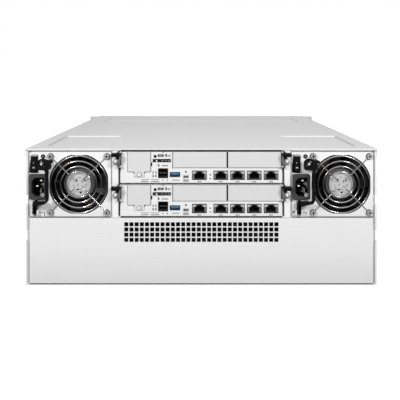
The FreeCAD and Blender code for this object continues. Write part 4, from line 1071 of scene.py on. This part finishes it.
def faceplate_marks(canister, origin):
    """Painted shade in seams, along edges and in holes, lamps, and small dark and light places on the
    faceplate.
    """
    shape = Shape(origin)

    def mark(x, z, material, proud=0.05):
        shape.block(x, (-proud, 0.2), z, material)

    def marks(spans, z, material, proud=0.05):
        for x in spans:
            mark(x, z, material, proud)

    def disc(x, z, radius=0.9):
        shape.rod((x, z), radius, (-0.08, 0.2), painted_gap_shade, 20)

    # Painted shade along the edges of the battery cover and of the two blank covers, at the tab's shoulders
    # and about the battery screw
    mark((32.0, 34.0), (19.9, 39.7), painted_gap_shade)
    mark((-37.2, -36.4), (18.4, 39.9), shadow_gap)
    mark((101.6, 102.2), (19.9, 39.7), shadow_gap)
    marks(((-36.4, -26.0), (-21.0, -17.0), (-13.0, -5.0), (2.0, 20.0), (26.0, 44.0), (52.0, 66.0),
           (74.0, 88.0), (95.0, 102.0)), (19.1, 19.75), painted_gap_shade)
    mark((-36.4, 102.2), (19.1, 19.75), shadow_gap, 0.03)
    mark((-94.3, -93.6), (14.4, 39.9), pale_ink_and_shade)
    mark((-64.7, -63.8), (14.4, 39.9), shadow_gap)
    marks(((-93.5, -85.0), (-72.5, -64.7)), (14.45, 15.0), pale_ink_and_shade, 1.25)
    for side in (-1, 1):
        foot_x = battery_screw[0] + side * 6.9
        mark(about(foot_x, 0.7), (12.4, 14.3), shadow_gap)
    shape.lathe(battery_screw, rectangle((2.5, 3.1), (-1.4, -1.1)), pale_ink_and_shade, 28)
    shape.screw(battery_screw, 2.45, -2.6, -2.75, screw_zinc)

    # Painted shade along the top and bottom edges, and beside each lever's pin
    half = 102.9
    mark((-half, half), (39.8, 40.4), painted_gap_shade)
    mark((-half, half), (0.05, 0.45), painted_gap_shade)
    upper = [(half, 33.0), (half, 40.2), (101.7, 40.2), (101.5, 35.0)]
    lower = [(half, 34.0), (101.4, 34.0), (101.3, 29.0), (101.9, 20.0), (half, 13.0)]
    for side in (-1, 1):
        for outline, material, proud in ((lower, shadow_gap, 0.07), (upper, painted_gap_shade, 0.09)):
            shape.prism(moved(outline, (0, 0), side), (-proud, 0.2), material)

    # Dark and light places left of the ports
    mark((-64.3, -62.4), (21.5, 26.5), painted_gap_shade, 0.08)
    mark((-60.5, -56.9), (32.2, 35.8), black_ink_and_shade, 0.1)
    shape.prism(rounded((-55.5, -47.7), (33.4, 36.7), 1.2), (-0.1, 0.1), black_ink_and_shade)
    shape.prism(rounded((-53.8, -49.4), (34.3, 35.8), 0.6), (-0.14, 0.1), label_grey)
    mark((-46.1, -43.6), (33.4, 37.2), pale_ink_and_shade, 0.08)
    mark((-42.9, -39.0), (33.4, 36.4), label_grey, 0.08)
    mark((-42.0, -40.0), (34.2, 35.6), label, 0.12)
    mark((-61.9, -38.7), (26.5, 30.8), black_ink_and_shade, 0.1)
    shape.rod((-56.8, 28.2), 1.1, (-0.16, 0.1), paper, 20)
    marks(((-50.8, -48.4), (-46.2, -44.6), (-42.6, -40.4)), (28.2, 29.0), label_grey, 0.14)
    mark((-55.5, -53.3), (20.9, 24.2), pale_ink_and_shade, 0.08)
    mark((-50.3, -42.3), (21.5, 22.8), pale_ink_and_shade, 0.08)
    marks(((-76.3, -66.0), (-64.0, -54.0)), (4.1, 4.9), pale_ink_and_shade)
    marks(((-76.5, -67.5), (-64.0, -53.4)), (1.6, 2.5), shadow_gap)
    for x in (-61.2, -57.8):
        mark(about(x, 0.8), (11.9, 15.2), pale_ink_and_shade, 0.1)
        mark(about(x, 0.8), (7.7, 10.5), shadow_gap, 0.1)
        mark(about(x, 0.35), (12.6, 14.5), label, 0.14)

    # Small holes drawn as dark discs of painted shade, and lamps
    for x, z, radius in ((-49.1, 3.75, 0.7), (-43.3, 3.75, 0.7), (-19.6, 14.4, 1.2), (-48.65, 39.3, 0.8)):
        disc(x, z, radius)
    for z in (10.6, 5.9):
        disc(11.3, z)
        shape.lathe((11.3, z), rectangle((0.9, 1.25), (-0.2, 0.1)), tin, 24)
    shape.prism(rounded((-23.2, -15.8), (1.6, 5.1), 0.8), (-0.06, 0.1), label_grey)
    marks([about(x, 2.6) for x in (-2.5, 24.6, 46.0, 67.2, 88.4)], (1.2, 2.4), pale_ink_and_shade)
    mark((-37.0, -28.0), (3.2, 4.6), label_grey)
    shape.make(canister + "_marks", canister)


def handle_piece(canister, side, origin):
    """An ejector lever with its finger tab, hinge barrel and captive thumbscrew."""
    shape = Shape(origin, side == "left")
    x, y, z = tab
    outline = [(x[0], y[0] + 1.5), (x[0] + 1.5, y[0]), (x[1] - 1.5, y[0]), (x[1], y[0] + 1.5), (x[1], y[1]),
               (x[0], y[1])]
    pin_hole = circle((pivot_x, pivot_out), pin_bore, 16)
    shape.prism(outline, z, black, [pin_hole], bevel=0.5, axis="z")
    for rib in range(4):
        start = x[0] + 1.6 + rib * 1.9
        shape.block((start, start + 0.9), (y[0], y[0] + 0.8), inset(z, 0.5), black, 0.2)
    sections = []
    for height, radius in ((barrel_base, 1.2), (barrel_base + 4.0, 1.7), (thumb[1], 2.2), (z[0], 2.2)):
        half_round = arc((pivot_x, pivot_out), radius, 90, 270, 14)
        sections.append([(u, v, height) for u, v in half_round])
    shape.loft(sections, moulded_grey)
    neck = moved([(0, 0), (4.6, 0), (3.0, -3.4), (1.4, -3.6), (0, -1.5)], (x[0], z[0]))
    shape.prism(neck, (-9.5, -5.9), black, bevel=0.4)
    plate = arc(thumb, arm_radius, -90, 90, 14)
    plate += [(pivot_x, thumb[1] + arm_radius), (pivot_x, thumb[1] - arm_radius)]
    shape.prism(plate, arm_span, tin, [circle(thumb, 1.75, 20)], bevel=0.25)
    bracket = arc(thumb, thumb_radius + 1.5, 110, 300, 18) + arc(thumb, thumb_radius + 0.5, 300, 110, 18)
    shape.prism(bracket, (-7.6, -4.0), moulded_grey, bevel=0.25)
    front, back = thumb_span
    # Painted shade on the thumbscrew's lower rim.
    shade_line = arc(thumb, thumb_radius - 0.2, 170, 350, 18) + arc(thumb, thumb_radius - 1.1, 350, 170, 18)
    shape.prism(shade_line, (front + 0.7, front + 1.0), pale_ink_and_shade)
    shape.prism(knurled(thumb, thumb_radius, 0.2, 44), (front + 0.9, back), screw_grey)
    slot = rectangle(*around(thumb, (thumb_radius, 0.6)))
    shape.prism(circle(thumb, thumb_radius - 1.2), (front, front + 0.9), screw_grey, [slot], bevel=0.2)
    # Painted glint: a bright dot on the thumbscrew's face.
    shape.rod((thumb[0] - 0.7, thumb[1] + 0.6), 1.0, (front - 0.05, front + 0.4), painted_glint_zinc, 20)
    shape.rod(thumb, 1.6, (back, -1.6), screw_zinc, 20)
    body = canister + "_lever_" + side
    shape.make(body + "_handle", body, [body])


for canister in ("canister_lower", "canister_upper"):
    corner = (0, rear_y, box_mm(canister + "_case")[0].z)
    port_set(canister, corner)
    faceplate_marks(canister, corner)
    for side in ("left", "right"):
        handle_piece(canister, side, corner)


# Chassis screws

def chassis_screws():
    side_reach = box_mm("chassis_screws")[1].x
    cover_top = box_mm("rack_ears")[1].z
    shape = Shape()
    for x in (-cover_screw_x, cover_screw_x):
        for y in cover_screw_rows:
            shape.screw((x, y), screw_radius, cover_top - 0.05, cover_top + 0.6, label_grey, "z")
    for side in (-1, 1):
        for number in range(3):
            z = (number + 0.5) * (cover_top - 1.0) / 3
            ends = (side * (side_reach - 0.6), side * side_reach)
            shape.screw((ear_screw_y, z), screw_radius, *ends, screw_zinc, "x")
    shape.make("chassis_screw_heads", "chassis", ["chassis_screws"])


chassis_screws()


# Painted shade: dark and grey strips in the gaps and seams of the rear face, and in the vent holes

def rear_gap_shading():
    shape = Shape((0, rear_y, 0))
    bay = box_mm("canister_lower_case")[0].z
    supply_low, supply_high = box_mm("psu_left_case")
    bay_top = supply_high.z
    panel_top = box_mm("rear_vent_panel")[1].z
    bay_half = box_mm("canister_lower_case")[1].x
    bay_width = (-bay_half, bay_half)
    front = (-0.05, 0.1)
    shape.block((supply_low.x, -supply_low.x), front, (1.3, 2.5), painted_gap_shade)
    shape.block(bay_width, front, (panel_top + 0.6, bay - 0.1), painted_gap_shade)
    hem_front = box_mm("top_cover")[0].y - rear_y
    shape.block(bay_width, (hem_front - 0.05, hem_front + 0.1), (bay_top + 1.25, bay_top + 1.8), painted_gap_shade)
    gap = (supply_high.x + 0.3, supply_high.x + 1.8)
    strips = (((supply_low.x, supply_high.x), front, (panel_top + 0.5, bay - 0.1), pale_ink_and_shade),
              (gap, (0.3, 2.0), (bay, bay_top), label_grey),
              ((220.8, 219.9), (-0.04, 0.1), (2.4, bay), pale_ink_and_shade),
              ((220.3, 219.6), (-0.04, 0.1), (bay, bay_top + 1.0), shadow_gap))
    corner = [(222.6, 1.2), (218.6, 1.2), (216.0, -1.4), (216.7, -2.0), (219.1, 0.3), (222.6, 0.3)]
    for side in (-1, 1):
        for x, y, z, material in strips:
            shape.block(sorted((side * x[0], side * x[1])), y, z, material)
        shape.prism(moved(corner, (0, bay_top), side), (-0.06, 0.1), painted_gap_shade)
    shape.block(bay_width, (-0.05, 0.6), (bay_top + 0.1, bay_top + 1.3), painted_gap_shade)
    # Dark linings in the vent holes: painted shade on their walls.
    for rise in evenly(vent_rows, vent_pitch):
        for x in evenly(vent_columns, vent_pitch):
            outer, inner = [rectangle(about(x, half), about(vent_height + rise, half))
                            for half in (vent_size / 2 + vent_shade_rim, vent_size / 2 - vent_shade_rim)]
            shape.prism(outer, (-0.04, 1.0), painted_gap_shade, [inner])
    shape.make("chassis_rear_gap_shading", "chassis")


rear_gap_shading()


# Drive trays: one mesh, placed in each bay

def tray_mesh(origin):
    shape = Shape(origin)
    width, height = bezel_size
    pitch = (width - 2 * slot_margin) / tray_slots
    slots = []
    for slot in range(tray_slots):
        middle = (slot_margin + (slot + 0.5) * pitch, slot_base + slot_size[1] / 2)
        slots.append(rounded(*around(middle, slot_size), 1.2, 3))
    recess = rounded(tray_recess[:2], tray_recess[2:], 1.0, 3)
    button_x, button_z = spans(button_corner, (button_size, button_size))
    well = rounded(inset(button_x, -0.4), inset(button_z, -0.4), 1.2, 3)
    outline = rounded((0, width), (0, height), 1.0, 3)
    shape.prism(outline, (-recess_depth, 0), bezel_grey, slots + [recess, well], bevel=0.35)
    shape.prism(outline, (-bezel_plate, -recess_depth), bezel_grey, slots)
    inner = rectangle((bezel_skin, width - bezel_skin), (bezel_skin, height - bezel_skin))
    shape.prism(outline, (-bezel_depth, -bezel_plate), bezel_grey, [inner])

    left, right, bottom, top = tray_recess
    bar = [(-0.3, bottom + 0.5), (-2.6, bottom + 0.5), (-4.0, bottom + 2.4), (-4.0, top - 2.4),
           (-2.6, top - 0.5), (-0.3, top - 0.5)]
    shape.prism(bar, (left + 0.4, right - 0.1), lever_silver, bevel=0.6, segments=3, axis="x")
    field = inset((bottom, top), 3)
    shape.prism(rounded((left + 30, right - 12), field, 1.0), (-0.35, 0.0), paper, bevel=0.1)
    for rib in range(5):
        x = left + 4 + rib * 2.6
        shape.block((x, x + 1.1), (-0.5, 0.0), field, bezel_grey, 0.25)
    shape.prism(rounded(button_x, button_z, 1.0, 3), (-recess_depth, -0.4), button_blue, bevel=0.4)
    shape.prism([(6.6, 11.2), (9.6, 12.6), (6.6, 14.0)], (-0.5, -0.25), paper)
    for x, lens in ((6.3, green_lens), (9.9, light_pipe)):
        shape.rod((x, 21.0), 1.1, (-0.6, 0.0), lens, 20, 0.2)

    front = -bezel_depth
    back = front - tray_length
    foot = 0.1
    rail = moved([(0.2, 0), (width - 0.2, 0), (width - 0.2, 14), (width - 2.6, 14), (width - 2.6, 0.8),
                  (2.6, 0.8), (2.6, 14), (0.2, 14)], (0, foot))
    shape.prism(rail, (back, front), steel)
    shape.block((3.2, width - 3.2), (back, front - 1.0), (foot + 0.8, 26.7), drive_cast, 1.2)
    shape.block((12, width - 14), (back + 18, front - 20), (26.6, 26.85), paper)
    return shape.mesh_data("drive_tray")


first_low, first_high = box_mm("drive_tray_11")
tray_data = tray_mesh((first_low.x, first_high.y, first_low.z))
for row in range(1, 7):
    for column in range(1, 5):
        node = "drive_tray_%d%d" % (row, column)
        shift = box_mm(node)[0] - first_low
        place_piece(node + "_unit", tray_data, node, [node], shift)


# View

bpy.context.scene.view_settings.view_transform = "Standard"
